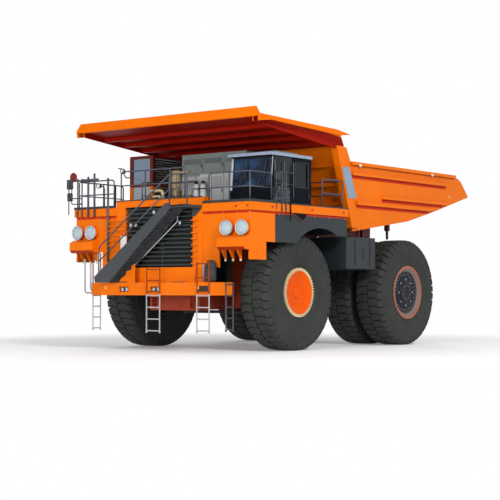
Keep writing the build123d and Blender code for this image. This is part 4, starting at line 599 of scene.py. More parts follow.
def on_both_sides(name, shape, finish, slot, body="chassis", nodes="", **looks):
    """A left piece and its mirror image, each on its own side's body and node when they have one."""
    for side, one in (("left", shape), ("right", mirrored(shape))):
        rides = f"{body}_{side}" if f"{body}_{side}" in frame["bodies"] else body
        own = " ".join(f"{node}_{side}" for node in nodes.split())
        put_piece(f"{name}_{side}", one, finish, slot, rides, own, **looks)


print("helpers ready: a 3 by 4 grid has", len(grid_faces(3, 4)), "faces")

# %% [markdown]
# A turned part is a profile of radius and width carried round an axle. Rails and pipes are a circle
# carried along a line whose corners are rounded by short curves. Bolts and rungs are many straight
# bars at once, worked out together by broadcasting.

# %% Turned parts, pipes, bars, plates and blocks
BLOCK_POINTS = 24


def around_y(r, y, a):
    """Points at a radius, a width and an angle round the Y axis: x = r sin a, z = r cos a."""
    return np.stack(np.broadcast_arrays(r * np.sin(a), y, r * np.cos(a)), -1)


def turned(profile, centre, sides=64, closed=False):
    """A profile of (radius, width) pairs turned round a line along Y: x = r sin a, z = r cos a.
    Its two ends are capped, unless the profile closes on itself."""
    r, y = np.asarray(profile, float).T
    points = around_y(r, y, np.linspace(0, 2 * np.pi, sides, endpoint=False)[:, None])
    faces = [grid_faces(sides, len(r), True, closed)]
    if not closed:
        rings = np.arange(sides)[None, :] * len(r)
        faces += [rings, rings[:, ::-1] + len(r) - 1]
    return outward(points.reshape(-1, 3) + np.asarray(centre, float), faces)


def lathe(profile, place, axis, sides, closed=False):
    """A turned part whose axis lies along x, for pieces that face forward, or z, for upright ones.
    Its points' parts change places in a ring, which keeps its handedness."""
    points, faces = turned(profile, (0, 0, 0), sides, closed)
    order = {"x": [1, 2, 0], "z": [2, 0, 1]}[axis]
    return moved((points[:, order], faces), place)


def unit(vectors):
    """Each vector brought to a length of 1."""
    return vectors / np.linalg.norm(vectors, axis=1, keepdims=True)


def bars(starts, ends, radius, sides=8):
    """Straight bars between pairs of points: a ring of points round each end, and two caps."""
    starts, ends = (np.asarray(p, float).reshape(-1, 3) for p in (starts, ends))
    along = unit(ends - starts)
    away = np.where(np.abs(along[:, 2:]) < 0.9, [[0.0, 0.0, 1.0]], [[1.0, 0.0, 0.0]])
    u = unit(np.cross(along, away))
    v = np.cross(along, u)
    a = (np.arange(sides) + 0.5) * 2 * np.pi / sides
    ring = radius * (u[:, None] * np.cos(a)[:, None] + v[:, None] * np.sin(a)[:, None])
    points = np.stack([starts[:, None] + ring, ends[:, None] + ring], 1).reshape(-1, 3)
    block = np.arange(len(starts))[:, None, None] * 2 * sides
    walls = grid_faces(2, sides, False, True)[None] + block
    caps = end_caps(sides, sides)[None] + block
    return outward(points, [walls.reshape(-1, 4), caps.reshape(-1, sides)])


def pipe(corners, radius, sides=12, bend=0.09):
    """A circle carried along a line of corners, each corner rounded by a curve whose point at t is
    (1-t)^2 A + 2t(1-t) B + t^2 C. The ring's frame comes from the direction the line spreads least."""
    corners = np.asarray(corners, float)
    line = [corners[:1]]
    t = np.linspace(0, 1, 6)[:, None]
    for before, corner, after in zip(corners, corners[1:], corners[2:]):
        back, on = before - corner, after - corner
        cut = min(bend, np.linalg.norm(back) * 0.45, np.linalg.norm(on) * 0.45)
        a = corner + back / np.linalg.norm(back) * cut
        c = corner + on / np.linalg.norm(on) * cut
        line.append((1 - t) ** 2 * a + 2 * t * (1 - t) * corner + t**2 * c)
    line = np.concatenate([*line, corners[-1:]])
    along = unit(np.gradient(line, axis=0))
    flat = np.linalg.svd(line - line.mean(0))[2][-1]
    u = unit(np.cross(along, flat))
    v = np.cross(along, u)
    a = np.linspace(0, 2 * np.pi, sides, endpoint=False)[None, :, None]
    points = line[:, None] + radius * (u[:, None] * np.cos(a) + v[:, None] * np.sin(a))
    caps = end_caps(sides, (len(line) - 1) * sides)
    return outward(points.reshape(-1, 3), [grid_faces(len(line), sides, False, True), caps])


def plate(outline, low, high, axis="y"):
    """A plate cut to an outline and carried from low to high along an axis: the outline's pairs are
    (x, z) for y, (y, z) for x and (x, y) for z."""
    count = len(outline)
    levels = np.repeat([low, high], count)
    a, b = np.tile(np.asarray(outline, float), (2, 1)).T
    points = {"y": (a, levels, b), "x": (levels, a, b), "z": (a, b, levels)}[axis]
    return outward(np.stack(points, 1), [grid_faces(2, count, False, True), end_caps(count, count)])


def block_pattern():
    """The 24 corners and 26 faces of a bevelled block: three points at each corner, each pushed to
    the surface along one axis. Faces are the six sides, twelve edge strips and eight corners."""
    signs = np.array([(x, y, z) for x in (-1, 1) for y in (-1, 1) for z in (-1, 1)])
    index = {(tuple(s), k): i * 3 + k for i, s in enumerate(signs) for k in range(3)}
    sides, strips, corners = [], [], []
    for k in range(3):
        i, j = (k + 1) % 3, (k + 2) % 3
        for s in (-1, 1):
            ring = []
            for p, q in ((-1, -1), (1, -1), (1, 1), (-1, 1)):
                corner = np.zeros(3, int)
                corner[[k, i, j]] = s, p, q
                ring.append(index[(tuple(corner), k)])
            sides.append(ring if s > 0 else ring[::-1])
        for p in (-1, 1):
            for q in (-1, 1):
                low, high = np.zeros(3, int), np.zeros(3, int)
                low[[k, i, j]], high[[k, i, j]] = (-1, p, q), (1, p, q)
                strip = [index[(tuple(c), m)] for c, m in ((low, i), (high, i), (high, j), (low, j))]
                strips.append(strip if p * q < 0 else strip[::-1])
    for s in signs:
        ring = [index[(tuple(s), k)] for k in range(3)]
        corners.append(ring if s.prod() > 0 else ring[::-1])
    return signs, np.array(sides + strips), np.array(corners)


BLOCK_SIGNS, BLOCK_QUADS, BLOCK_CORNERS = block_pattern()


def blocks(centres, sizes, bevel=0.004):
    """Bevelled blocks at many centres: corner = centre + sign * (half size - bevel), with the bevel
    given back along one axis for each of a corner's three points."""
    centres = np.asarray(centres, float).reshape(-1, 3)
    halves = np.broadcast_to(np.asarray(sizes, float), centres.shape) / 2
    inner = (halves - bevel)[:, None, None, :] + bevel * np.eye(3)
    points = (BLOCK_SIGNS[None, :, None, :] * inner + centres[:, None, None, :]).reshape(-1, 3)
    start = np.arange(len(centres))[:, None, None] * BLOCK_POINTS
    return points, [(BLOCK_QUADS + start).reshape(-1, 4), (BLOCK_CORNERS + start).reshape(-1, 3)]


held = volume(*blocks([(0, 0, 0)], (2, 2, 2), 0.1))
print("a bevelled 2 m block holds", round(held, 3), "cubic metres")

# %% [markdown]
# ## Tyres
# The tyres are 3.5 m tall and carry most of the truck's character. Their rubber is two rows of heavy
# blocks, staggered by half a pitch, that lean into shallow arrows and reach down over the
# shoulders. A displaced smooth grid would blur such blocks, so the grid itself follows them: its
# angles sit just before and after each block's edge, and lean with it. Sidewalls are shaded smooth
# and blocks flat.

# %% The section of a tyre and its blocks
TYRE_R, LUGS, LEAN, ZIGZAG = 1.75, 42, 0.8, 0.16
RAMP, GROOVE_END = 0.04, 0.18
WALL_TOP, LEAN_STOPS, ZIGZAG_LENGTH = 1.56, 0.385, 0.36
EDGES_OF_A_LUG = np.array([0.0, 0.04, 0.18, 0.22, 0.5, 0.54, 0.68, 0.72])
WALL = np.array([
    (0.745, 0.36), (0.745, 0.415), (0.775, 0.448), (0.86, 0.474), (0.905, 0.484), (0.925, 0.498),
    (0.945, 0.486), (1.06, 0.506), (1.20, 0.522), (1.31, 0.524), (1.33, 0.530), (1.35, 0.524),
    (1.46, 0.516), (1.55, 0.505),
])
BARE = np.array([
    (1.565, 0.500), (1.58, 0.482), (1.60, 0.455), (1.64, 0.420), (1.672, 0.380), (1.690, 0.30),
    (1.692, 0.20), (1.694, 0.11), (1.694, 0.03), (1.694, 0.012),
])
LUGGED = np.array([
    (1.565, 0.504), (1.585, 0.514), (1.635, 0.502), (1.700, 0.468), (1.736, 0.415), (1.746, 0.31),
    (1.749, 0.20), (1.75, 0.11), (1.75, 0.026), (1.694, 0.012),
])


def tyre_shape():
    """A tyre about the origin. With u the count of blocks gone round and a point of the section,
    point = bare + bar(u) (lugged - bare), turned by the angle 2 pi (u + LEAN |y| + a sine of |y|)
    / LUGS. The share bar is 1 on a block and 0 in a groove, half a pitch later on the other row."""
    u = (np.arange(LUGS)[:, None] + EDGES_OF_A_LUG).reshape(-1, 1)
    half = np.concatenate([np.hstack([WALL, WALL]), np.hstack([BARE, LUGGED])])
    r0, y0, r1, y1 = np.concatenate([half, half[::-1] * [1, -1, 1, -1]]).T
    phase = (u + np.where(y0 < 0, 0.5, 0.0)) % 1.0
    bar = 1 - np.clip(phase / RAMP, 0, 1) + np.clip((phase - GROOVE_END) / RAMP, 0, 1)
    r, y = r0 + bar * (r1 - r0), y0 + bar * (y1 - y0)
    across = np.minimum(np.abs(y0), LEAN_STOPS)
    a = 2 * np.pi / LUGS * (u + LEAN * across + ZIGZAG * np.sin(2 * np.pi * across / ZIGZAG_LENGTH))
    smooth = np.tile((r0 < WALL_TOP) & (np.roll(r0, -1) < WALL_TOP), len(u))
    return outward(around_y(r, y, a).reshape(-1, 3), [grid_faces(len(u), len(r0), True, True)]), smooth


TYRE, SMOOTH_WALL = tyre_shape()
for name, x, y, body, node in (
    ("front_tyre", FRONT_AXLE_X, 2.72, "front_wheel", "front_tyre"),
    ("rear_outer_tyre", REAR_AXLE_X, 2.96, "rear_wheels", "rear_tyres"),
    ("rear_inner_tyre", REAR_AXLE_X, 1.70, "rear_wheels", "rear_tyres"),
):
    placed = moved(TYRE, (x, y, TYRE_R))
    on_both_sides(f"{name}_rubber", placed, RUBBER, "tyre", body, node, smooth=SMOOTH_WALL)
print("tyre faces", len(TYRE[1][0]), "radius", round(float(np.abs(TYRE[0][:, 2]).max()), 3))

# %% [markdown]
# ## Wheels
# A front wheel shows a ring of clamp wedges round a bright, shallow dish with one small boss at its
# middle. The rear wheel carries the electric drive: a flange ring, a cone down to a nearly
# black cover, and a circle of bolts. All of them are turned profiles; the wedges are a ring whose
# face steps up and down round the axle.

# %% Clamp ring, dish and boss of the front wheels
def toothed_ring(inner, outer, back, low, high, teeth, centre):
    """A flat ring whose face is at high on each tooth and at low between: u counts the teeth, and
    the face is high where u modulo 1 is between 0.05 and 0.55."""
    u = (np.arange(teeth)[:, None] + [0.0, 0.1, 0.5, 0.6]).reshape(-1, 1)
    face = np.where((u % 1 > 0.05) & (u % 1 < 0.55), high, low)
    behind = np.full_like(face, back)
    r = np.array([[inner, outer, outer, inner]])
    points = around_y(r, np.hstack([behind, behind, face, face]), 2 * np.pi * u / teeth).reshape(-1, 3)
    return outward(points + np.asarray(centre, float), [grid_faces(len(u), 4, True, True)])


def circle(count, radius, x, y, z, turn=0.0):
    """Points round a line along Y."""
    return around_y(radius, y, 2 * np.pi * (np.arange(count) + turn) / count) + [x, 0, z]


def bolts(points, axis, radius=0.016, length=0.012):
    """Hexagon heads that stand on the points along an axis."""
    return bars(points, np.asarray(points, float) + np.asarray(axis, float) * length, radius, 6)


FORWARD, LEFTWARD = (1, 0, 0), (0, 1, 0)
FRONT_HUB = (FRONT_AXLE_X, 0, TYRE_R)
DISH = [
    (0.30, 3.06), (0.66, 3.09), (0.66, 3.185), (0.645, 3.190), (0.61, 3.178), (0.47, 3.104),
    (0.44, 3.098), (0.245, 3.102), (0.225, 3.080), (0.13, 3.080),
]
BOSS = [(0.19, 3.07), (0.195, 3.086), (0.185, 3.100), (0.165, 3.118), (0.12, 3.126), (0.05, 3.127)]
# The lighter orange on its worn edges is a painted highlight on the dish.
HUB_ORANGE = painted(
    "hub_orange_paint", (236, 88, 2), 0.45, (250, 150, 40), wear=0.5, dust=0.02, gloss=0.08
)
front_wheel = {
    "front_clamp_ring": (toothed_ring(0.655, 0.744, 3.09, 3.170, 3.205, 52, FRONT_HUB), CREAM, {}),
    "front_wheel_dish": (
        joined(turned(DISH, FRONT_HUB, 72), turned(BOSS, FRONT_HUB, 36)),
        HUB_ORANGE,
        {"smooth": True, "bevel": 0.004},
    ),
    "front_wheel_plugs": (
        bolts(circle(12, 0.36, FRONT_AXLE_X, 3.098, TYRE_R), LEFTWARD, 0.014, 0.012), HUB_ORANGE, {}
    ),
}
for name, (shape, finish, looks) in front_wheel.items():
    on_both_sides(name, shape, finish, "orange_paint", "front_wheel", **looks)
print("front wheel faces", sum(len(f) for shape, *_ in front_wheel.values() for f in shape[1]))

# %% Flange, cone and drive cover of the rear wheels
REAR_HUB = (REAR_AXLE_X, 0, TYRE_R)
RIM_BROWN = painted("rim_brown_paint", (118, 100, 92), 0.45, (150, 130, 116), dust=0.1)
FLANGE = [
    (0.80, 3.395), (0.85, 3.420), (0.885, 3.430), (0.888, 3.452), (0.868, 3.464), (0.825, 3.456),
    (0.802, 3.435),
]
CONE = [
    (0.625, 3.26), (0.78, 3.38), (0.815, 3.42), (0.812, 3.446), (0.785, 3.436), (0.652, 3.318),
    (0.62, 3.29),
]
COVER = [
    (0.58, 3.26), (0.65, 3.29), (0.645, 3.33), (0.53, 3.322), (0.51, 3.350), (0.345, 3.356),
    (0.325, 3.385), (0.16, 3.392), (0.14, 3.378), (0.04, 3.378),
]
for name, profile, closed, finish, bevel in (
    ("rear_flange_ring", FLANGE, True, COPPER, 0.0),
    ("rear_rim_cone", CONE, True, RIM_BROWN, 0.0),
    ("rear_drive_cover", COVER, False, HUB_BLACK, 0.003),
):
    shape = turned(profile, REAR_HUB, 72, closed)
    on_both_sides(name, shape, finish, "wheel_dark", "rear_wheels", smooth=True, bevel=bevel)
rear_bolts = joined(*[
    bolts(circle(count, ring, REAR_AXLE_X, y, TYRE_R), LEFTWARD, radius, length)
    for count, ring, y, radius, length in (
        (8, 0.43, 3.350, 0.032, 0.03),
        (30, 0.595, 3.324, 0.016, 0.016),
        (10, 0.235, 3.388, 0.014, 0.012),
    )
])
on_both_sides("rear_wheel_bolts", rear_bolts, BOLT_STEEL, "wheel_dark", "rear_wheels")
print("rear wheel bolts", sum(len(caps) for caps in rear_bolts[1][1::2]) // 2)

# %% [markdown]
# ## Lamps
# Each headlamp is a deep drum on the orange panel: a tapered housing, a rounded rim and a domed
# lens set a little back in it. The small work lamps in the bumper and on the grille are the same
# lamp at a smaller size, so one function makes them all and only the radius and depth change.

# %% Headlamps and work lamps
SMALL_LAMP_R = 0.1
LAMP_PROFILES = {
    "housings": [(0.45, 0.0), (0.84, 0.02), (0.93, 0.40), (0.93, 0.66), (0.40, 0.68)],
    "rims": [(0.90, 0.62), (1.0, 0.66), (1.0, 0.96), (0.965, 1.0), (0.90, 0.98), (0.87, 0.80)],
    "lenses": [(0.30, 0.66), (0.88, 0.70), (0.885, 0.84), (0.70, 0.915), (0.40, 0.955), (0.08, 0.97)],
}


def lamp_parts(x, y, z, radius, deep):
    """Housing, rim and lens of a lamp that faces forward, as profiles in shares of its size."""
    parts, sides = [], 40 if radius > SMALL_LAMP_R else 20
    for kind, profile in LAMP_PROFILES.items():
        sized = [(share * radius, depth * deep) for share, depth in profile]
        parts.append(lathe(sized, (x, y, z), "x", sides, kind == "rims"))
    return parts


SIDES = (-1, 1)
PANEL_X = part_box("lamps")[0][0]
headlamps = [(6.18, s * y, 3.61, 0.22, 0.19) for y in (2.71, 3.28) for s in SIDES]
small = [(6.46, y + s * 0.09, 1.845, 0.07, 0.06) for y in (-1.08, 0.19) for s in SIDES]
small += [(6.18, y + s * 0.10, z, 0.065, 0.065) for y, z in ((-0.99, 3.80), (-0.05, 4.16)) for s in SIDES]
small += [(6.20, 0.90, 3.81, 0.06, 0.07)]
for group_name, group, finishes in (
    ("headlamp", headlamps, (ORANGE, PALE_GREY, LENS)),
    ("work_lamp", small, (DARK_TRIM, DARK_TRIM, LENS)),
):
    for kind, finish, shapes in zip(LAMP_PROFILES, finishes, zip(*[lamp_parts(*one) for one in group])):
        put_piece(f"{group_name}_{kind}", joined(*shapes), finish, "lamp", nodes="lamps", smooth=True)
seats = blocks([(6.17, -0.99, 3.80), (6.17, -0.05, 4.16)], (0.02, 0.34, 0.15))
arm = pipe([(6.21, 1.38, 3.81), (6.19, 1.15, 3.81), (6.19, 0.90, 3.81)], 0.018, bend=0.05)
put_piece("work_lamp_seats", joined(seats, arm), DARK_TRIM, "lamp")
print("lamps", len(headlamps) + len(small), "first at x", round(PANEL_X, 3))

# %% [markdown]
# ## Handrails, mirrors and ladders
# Every walkway edge has a tube rail: a top tube that turns down into its end posts, a middle tube and
# a foot plate under each post. The route is given as post positions, the same as on the packed
# frame, and one function bends the tube along it. The ladders are two stiles with round rungs.

# %% Handrails
RAIL_R, RAIL_UP, FLOOR_Z = 0.022, 0.90, 4.33
EDGE_Y, FRONT_X, REAR_X, STAIR_RAIL_X, HOOD_RAIL_X = 3.417, 6.117, 1.42, 6.837, 6.12


def rail_run(posts, base=FLOOR_Z, last_down=True):
    """A rail over posts given as (x, y), or (x, y, lift) on a slope: the top tube turns down at its
    ends, the middle tube runs at half height, and inner posts are straight bars."""
    at = np.array([(x, y, base + sum(lift)) for x, y, *lift in posts])
    up = np.array([0, 0, RAIL_UP])
    path = np.concatenate([at[:1], at + up, at[-1:] if last_down else at[:0]])
    inner = at[1 : -1 if last_down else None]
    middle = at + up * 0.52
    return joined(
        pipe(path, RAIL_R, bend=0.12),
        bars(inner, inner + up, RAIL_R, 10),
        bars(middle[:-1], middle[1:], RAIL_R * 0.85, 10),
        blocks(at + [0, 0, 0.006], (0.10, 0.10, 0.012), 0.002),
    )


def bow(x, near, out, start, end):
    """Corners of a bar that stands off a wall: out at one height and back at another."""
    return [(x, near, start), (x, out, start), (x, out, end), (x, near, end)]


runs = [
    rail_run([(FRONT_X, -1.90), (FRONT_X, -EDGE_Y), (5.02, -EDGE_Y), (4.10, -EDGE_Y)]),
    rail_run([(2.15, -EDGE_Y), (REAR_X, -EDGE_Y), (REAR_X, -1.90)]),
    rail_run([(FRONT_X, 1.90), (FRONT_X, 2.66), (FRONT_X, EDGE_Y), (5.10, EDGE_Y)]),
    rail_run([(2.53, EDGE_Y), (REAR_X, EDGE_Y), (REAR_X, 1.90)]),
    rail_run([(STAIR_RAIL_X, -1.85, -2.07), (STAIR_RAIL_X, 1.0), (STAIR_RAIL_X, 1.67)], 4.30),
    rail_run([(HOOD_RAIL_X, y) for y in (-1.60, -0.60, 0.40, 0.98)], 4.56),
    rail_run([(4.95, -1.80), (4.10, -1.80), (4.10, -0.35)], last_down=False),
]
rails = put_piece(
    "deck_and_stair_rails", joined(*runs), RAIL_GREY, "rail_grey", nodes="handrails", smooth=True
)
print("rail runs", len(runs), "faces", len(rails.data.polygons))

# %% Mirror frames and heads
FRAME_X, HEAD_BACK, GLASS_BACK = 6.25, 0.045, 0.034
frames, shells, glasses = [], [], []
for posts, (x, y) in (
    ([(6.243, -3.17), (6.243, -3.36)], (6.493, -3.50)),
    ([(4.75, 3.543), (4.55, 3.543)], (5.0, 3.523)),
):
    frames.append(bars([(*post, 4.11) for post in posts], [(*post, 5.33) for post in posts], 0.022, 10))
    for z in (5.27, 4.70):
        arm = [(*posts[0], z), (x - 0.02, y, z), (x, y, z - 0.03), (x, y, z - 0.52)]
        frames.append(pipe(arm, 0.018, bend=0.06))
    for z, wide, tall in ((5.14, 0.25, 0.31), (4.74, 0.21, 0.26)):
        shells.append(blocks([(x - HEAD_BACK, y, z)], (0.07, wide, tall), 0.02))
        face = (x - HEAD_BACK - GLASS_BACK, y, z)
        glasses.append(blocks([face], (0.008, wide - 0.03, tall - 0.03), 0.002))
feet = [(FRAME_X, -2.89, 4.11), (FRAME_X, -2.62, 4.11), (FRAME_X, -3.15, 5.27), (6.235, -2.05, 2.69)]
tops = [(FRAME_X, -2.89, 5.37), (FRAME_X, -2.62, 5.46), (FRAME_X, -2.46, 5.27), (6.235, -2.05, 5.29)]
holds = [(-2.89, 4.2), (-2.62, 4.2), (-2.05, 4.2), (-2.05, 3.2), (-3.22, 5.25), (-3.22, 4.53)]
lamp_arm = [(6.13, -2.30, 4.33), (6.13, -2.30, 5.02), (6.20, -2.42, 5.06)]
frames += [
    pipe(bow(FRAME_X, -3.22, -3.62, 5.25, 4.53), 0.016, bend=0.06),
    bars(feet, tops, 0.034, 10),
    bars([(6.19, *hold) for hold in holds], [(6.26, *hold) for hold in holds], 0.026, 8),
    pipe(lamp_arm, 0.018, bend=0.08),
]
for name, shapes, finish, smooth in (
    ("mirror_frames", frames, RAIL_GREY, True),
    ("mirror_shells", shells, DARK_TRIM, True),
    ("mirror_glasses", glasses, MIRROR_GLASS, False),
):
    put_piece(name, joined(*shapes), finish, "rail_grey", nodes="mirrors", smooth=smooth)
DISC = [(0.06, 0.0), (0.14, 0.012), (0.15, 0.04), (0.13, 0.055), (0.05, 0.06)]
put_piece("round_marker", lathe(DISC, (6.40, -3.36, 5.36), "x", 32), DARK_RED_AND_SHADE, "rail_grey", smooth=True)
pair = [lamp_parts(6.20, -2.42, 5.06, 0.085, 0.10), lamp_parts(4.15, -3.34, 5.70, 0.09, 0.10)]
housings, rims, lenses = zip(*pair)
lamp_arm = pipe([(4.05, -3.16, 5.50), (4.12, -3.30, 5.50), (4.15, -3.34, 5.66)], 0.018, bend=0.05)
lamp_arm = joined(lamp_arm, bars([(4.15, -3.34, 5.78)], [(4.15, -3.58, 5.82)], 0.02, 8))
put_piece("corner_lamp_bodies", joined(*housings, *rims), DARK_TRIM, "lamp", smooth=True)
put_piece("corner_lamp_lenses", joined(*lenses), MIRROR_GLASS, "lamp", smooth=True)
put_piece("corner_lamp_arm", lamp_arm, DARK_TRIM, "lamp")
print("mirror heads", len(shells))

# %% Boarding ladders
PAINT_CHANGES_Z = 1.72
LADDERS = {
    "middle": (6.575, 0.135, 0.52, 0.56, 2.50, False, 0.0),
    "left": (6.575, 2.06, 0.46, 0.59, 2.65, False, 0.0),
    "right_side": (6.30, -2.455, 0.33, 0.60, 2.05, True, 0.92),
}


def ladder(x, y, width, low, high, sideways=False, rise=0.0):
    """Two stiles, a round rung about every 0.3 m and a foot under each stile. Sideways ladders face
    out, and the stiles may rise above the last rung."""
    across = np.array([width / 2, 0, 0]) if sideways else np.array([0, width / 2, 0])
    depth = np.array([0, 0.045, 0]) if sideways else np.array([0.045, 0, 0])
    middle, tall = np.array([x, y, (low + high + rise) / 2]), high - low + rise
    size = np.abs(across) / width * 2 * 0.018 + depth + [0, 0, tall]
    stiles = np.array([middle - across, middle + across])
    z = np.linspace(low + 0.06, high - 0.06, round((high - low) / 0.30))[:, None]
    centre = np.hstack([np.full_like(z, x), np.full_like(z, y), z])
    feet = stiles - [0, 0, tall / 2 - 0.02]
    return joined(
        blocks(stiles, size),
        bars(centre - across, centre + across, 0.019, 10),
        blocks(feet, size * [1, 1, 0] + [0.012, 0.012, 0.05]),
    )


left_side = ladder(5.85, 2.455, 0.33, 0.62, 2.05, True)
put_piece("left_side_ladder", left_side, RAIL_GREY, "rail_grey")
steps, tops = [], []
for x, y, width, low, high, sideways, rise in LADDERS.values():
    steps.append(ladder(x, y, width, low, PAINT_CHANGES_Z, sideways))
    tops.append(ladder(x, y, width, PAINT_CHANGES_Z, high, sideways, rise))
for x, y, z in ((6.25, -3.02, 1.74), (6.12, -2.90, 1.80)):
    steps.append(pipe([(x, y, 2.80), (x, y, z), (x, -2.50, z)], 0.027, bend=0.12))
piece = put_piece("boarding_ladders", joined(*steps), LADDER_GREY, "rail_grey", nodes="ladders")
put_piece("boarding_ladder_tops", joined(*tops), LADDER_RUST, "rail_grey", nodes="ladders")
print("ladder faces", len(piece.data.polygons))

# %% [markdown]
# ## Stair
# The stair crosses the front from the bumper's right end up to the landing by the left deck. Its
# treads are open gratings, so ore and snow fall through: here each is a row of thin bars. The two
# stringers are plates with a lip along both edges.

# %% Stringers, gratings and landing
FOOT, HEAD = np.array([-1.95, 2.05]), np.array([1.0, 4.30])
STAIR_X, SHEET, LIP_IN = (6.28, 6.90), 0.012, 0.022
LANDING_Z = 4.26
BORDER_AT = [(6.59, 1.065), (6.59, 1.695), (6.285, 1.38), (6.893, 1.38)]
BORDER_SIZES = [(0.62, 0.012, 0.08)] * 2 + [(0.012, 0.64, 0.08)] * 2
STRINGER = [(-1.95, 2.05), (-1.99, 2.21), (0.90, 4.36), (1.06, 4.36), (1.06, 4.22), (-1.40, 2.05)]
BRACKET = [(1.36, 4.0), (1.44, 3.98), (1.66, 4.18), (1.70, 4.30), (1.36, 4.30)]
GUARD = [
    (-1.32, 2.045), (-0.66, 2.045), (-0.66, 2.62), (-0.78, 2.56), (-0.80, 2.44), (-1.0, 2.39),
    (-1.02, 2.28), (-1.22, 2.18),
]


def grating(x0, x1, y0, y1, z, bars_across):
    """A row of thin upright bars along X, with three bars across them."""
    ys = np.linspace(y0 + SHEET, y1 - SHEET, bars_across)
    x, y = (x0 + x1) / 2, (y0 + y1) / 2
    return joined(
        blocks([(x, bar_y, z) for bar_y in ys], (x1 - x0, 0.010, 0.036), 0.002),
        blocks([(x0 + 0.006, y, z), (x, y, z), (x1 - 0.006, y, z)], (0.010, y1 - y0, 0.044), 0.002),
    )


sides = [plate(STRINGER, x, x + SHEET, "x") for x in (STAIR_X[0], STAIR_X[1] - SHEET)]
for start, end in (((-1.98, 2.22), (0.90, 4.36)), ((-1.40, 2.06), (1.05, 4.20))):
    for x in (STAIR_X[0] + LIP_IN, STAIR_X[1] - LIP_IN):
        sides.append(bars([(x, *start)], [(x, *end)], 0.020, 4))
treads = []
for share in np.arange(1, 10) / 10:
    y, z = FOOT + share * (HEAD - FOOT)
    treads.append(grating(STAIR_X[0] + SHEET, STAIR_X[1] - SHEET, y - 0.02, y + 0.21, z - 0.04, 7))
landing = grating(*STAIR_X, 1.06, 1.70, 4.276, 17)
border = blocks([(x, y, LANDING_Z) for x, y in BORDER_AT], BORDER_SIZES, 0.003)
bridge = blocks([(6.257, 1.40, 4.27)], (0.055, 0.60, 0.06))
sides += [border, bridge, plate(BRACKET, 6.203, 6.24, "x")]
put_piece("stair_sides", joined(*sides), STAIR_GREY, "rail_grey", nodes="stair")
gratings = put_piece("stair_gratings", joined(*treads, landing), STAIR_GREY, "rail_grey", nodes="stair")
low, high = (6.295, -0.95, 2.50), (6.295, 0.85, 3.86)
rod = joined(
    bars([low], [high], 0.018, 10), bars([low, high], [(6.295, -0.95, 2.44), (6.295, 0.85, 4.02)], 0.014, 8)
)
put_piece("stair_side_rod", rod, LADDER_GREY, "rail_grey")
put_piece("stair_foot_guard", plate(GUARD, 6.500, 6.520, "x"), ORANGE, "orange_paint")
print("treads", len(treads), "grating faces", len(gratings.data.polygons))

# %% [markdown]
# ## Deck edges, markers and small fittings
# The decks carry dark floor sheets that end in a thin dark line above the orange band. Along the
# band and the panels sit small reflectors, bolts, blank plates and brackets. They are thin pieces
# laid on the solids, placed where the photograph shows them.

# %% Floor sheets, edge lines and the painted shadow under the band
PANEL_FRONT, DECK_REAR, DECK_SIDE, SIDE_LINE = 6.19, 1.22, 3.49, 3.532
DECK = [(DECK_REAR, 1.722), (6.20, 1.722), (6.20, 3.50), (DECK_REAR, 3.50)]
NOSE = [
    (PANEL_FRONT, 1.74), (6.232, 1.74), (6.232, SIDE_LINE), (4.35, SIDE_LINE), (4.35, DECK_SIDE),
    (PANEL_FRONT, DECK_SIDE),
]
BESIDE = [(4.35, DECK_SIDE), (4.35, SIDE_LINE), (DECK_REAR, SIDE_LINE), (DECK_REAR, DECK_SIDE)]
HOOD = [(6.17, -1.72), (6.215, -1.72), (6.215, 1.72), (6.17, 1.72)]
door_low_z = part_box("cab_door")[0][2]
edge_line = joined(
    plate(NOSE, 4.352, 4.425, "z"), plate(BESIDE, 4.352, min(4.39, door_low_z - 0.02), "z")
)
stud_xs, stud_ys = np.arange(1.4, 6.05, 0.16), np.arange(1.85, 3.42, 0.16)
studs = [(x, y, 4.347) for y in stud_ys for x in stud_xs]
# Painted shadow: thin red strips under the orange band, at the front and along the side.
band_shadow_strips = joined(
    blocks([(6.183, 2.60, 4.07)], (0.006, 1.72, 0.07), 0.002),
    blocks([(3.70, 3.472, 4.07)], (4.9, 0.006, 0.05), 0.002),
)
on_both_sides("deck_floor_sheet", plate(DECK, 4.331, 4.345, "z"), DARK_TRIM, "rail_grey")
on_both_sides("deck_edge_line", edge_line, DARK_TRIM, "rail_grey")
on_both_sides("deck_tread_studs", blocks(studs, (0.05, 0.016, 0.006), 0.002), RAIL_GREY, "rail_grey")
put_piece("hood_edge_line", plate(HOOD, 4.54, 4.572, "z"), DARK_TRIM, "rail_grey")
on_both_sides("band_shadow_gap", band_shadow_strips, SHADOW_RED, "orange_paint")
print("lowest edge of the cab door", round(door_low_z, 3), "tread studs on each deck", len(studs))

# %% Reflectors, blank plates and bolts
MARKER = (0.12, 0.016, 0.09)
RIBS_Y, RIB_HIGH = 3.303, 0.10
red = [(6.224, y, 4.235) for y in (-3.42, -2.1, 3.0, 3.42)]
red += [(x, s * 3.524, 4.235) for x in (5.2, 3.2, 1.5) for s in SIDES]
amber = [(6.556, s * 1.83, 1.89) for s in SIDES]
beam_bolts = [(6.551, y, z) for y in (-2.3, -1.5, -0.5, 0.75, 1.35, 2.3) for z in (1.72, 2.0)]
for name, shape, finish in (
    ("red_reflectors", blocks(red, (0.05, 0.05, 0.06)), RED_MARK),
    ("amber_reflectors", blocks(amber, (0.016, 0.13, 0.09)), AMBER_MARK),
    ("blank_plate_front", blocks([(6.266, -1.36, 3.25)], (0.012, 0.25, 0.44), 0.003), WHITE_MARK),
    ("bumper_bolts", bolts(beam_bolts, FORWARD), BOLT_STEEL),
):
    put_piece(name, shape, finish, "orange_paint")
blank = plate([(1.43, 5.67), (1.03, 5.70), (0.61, 4.73), (1.07, 4.71)], 3.411, 3.423)
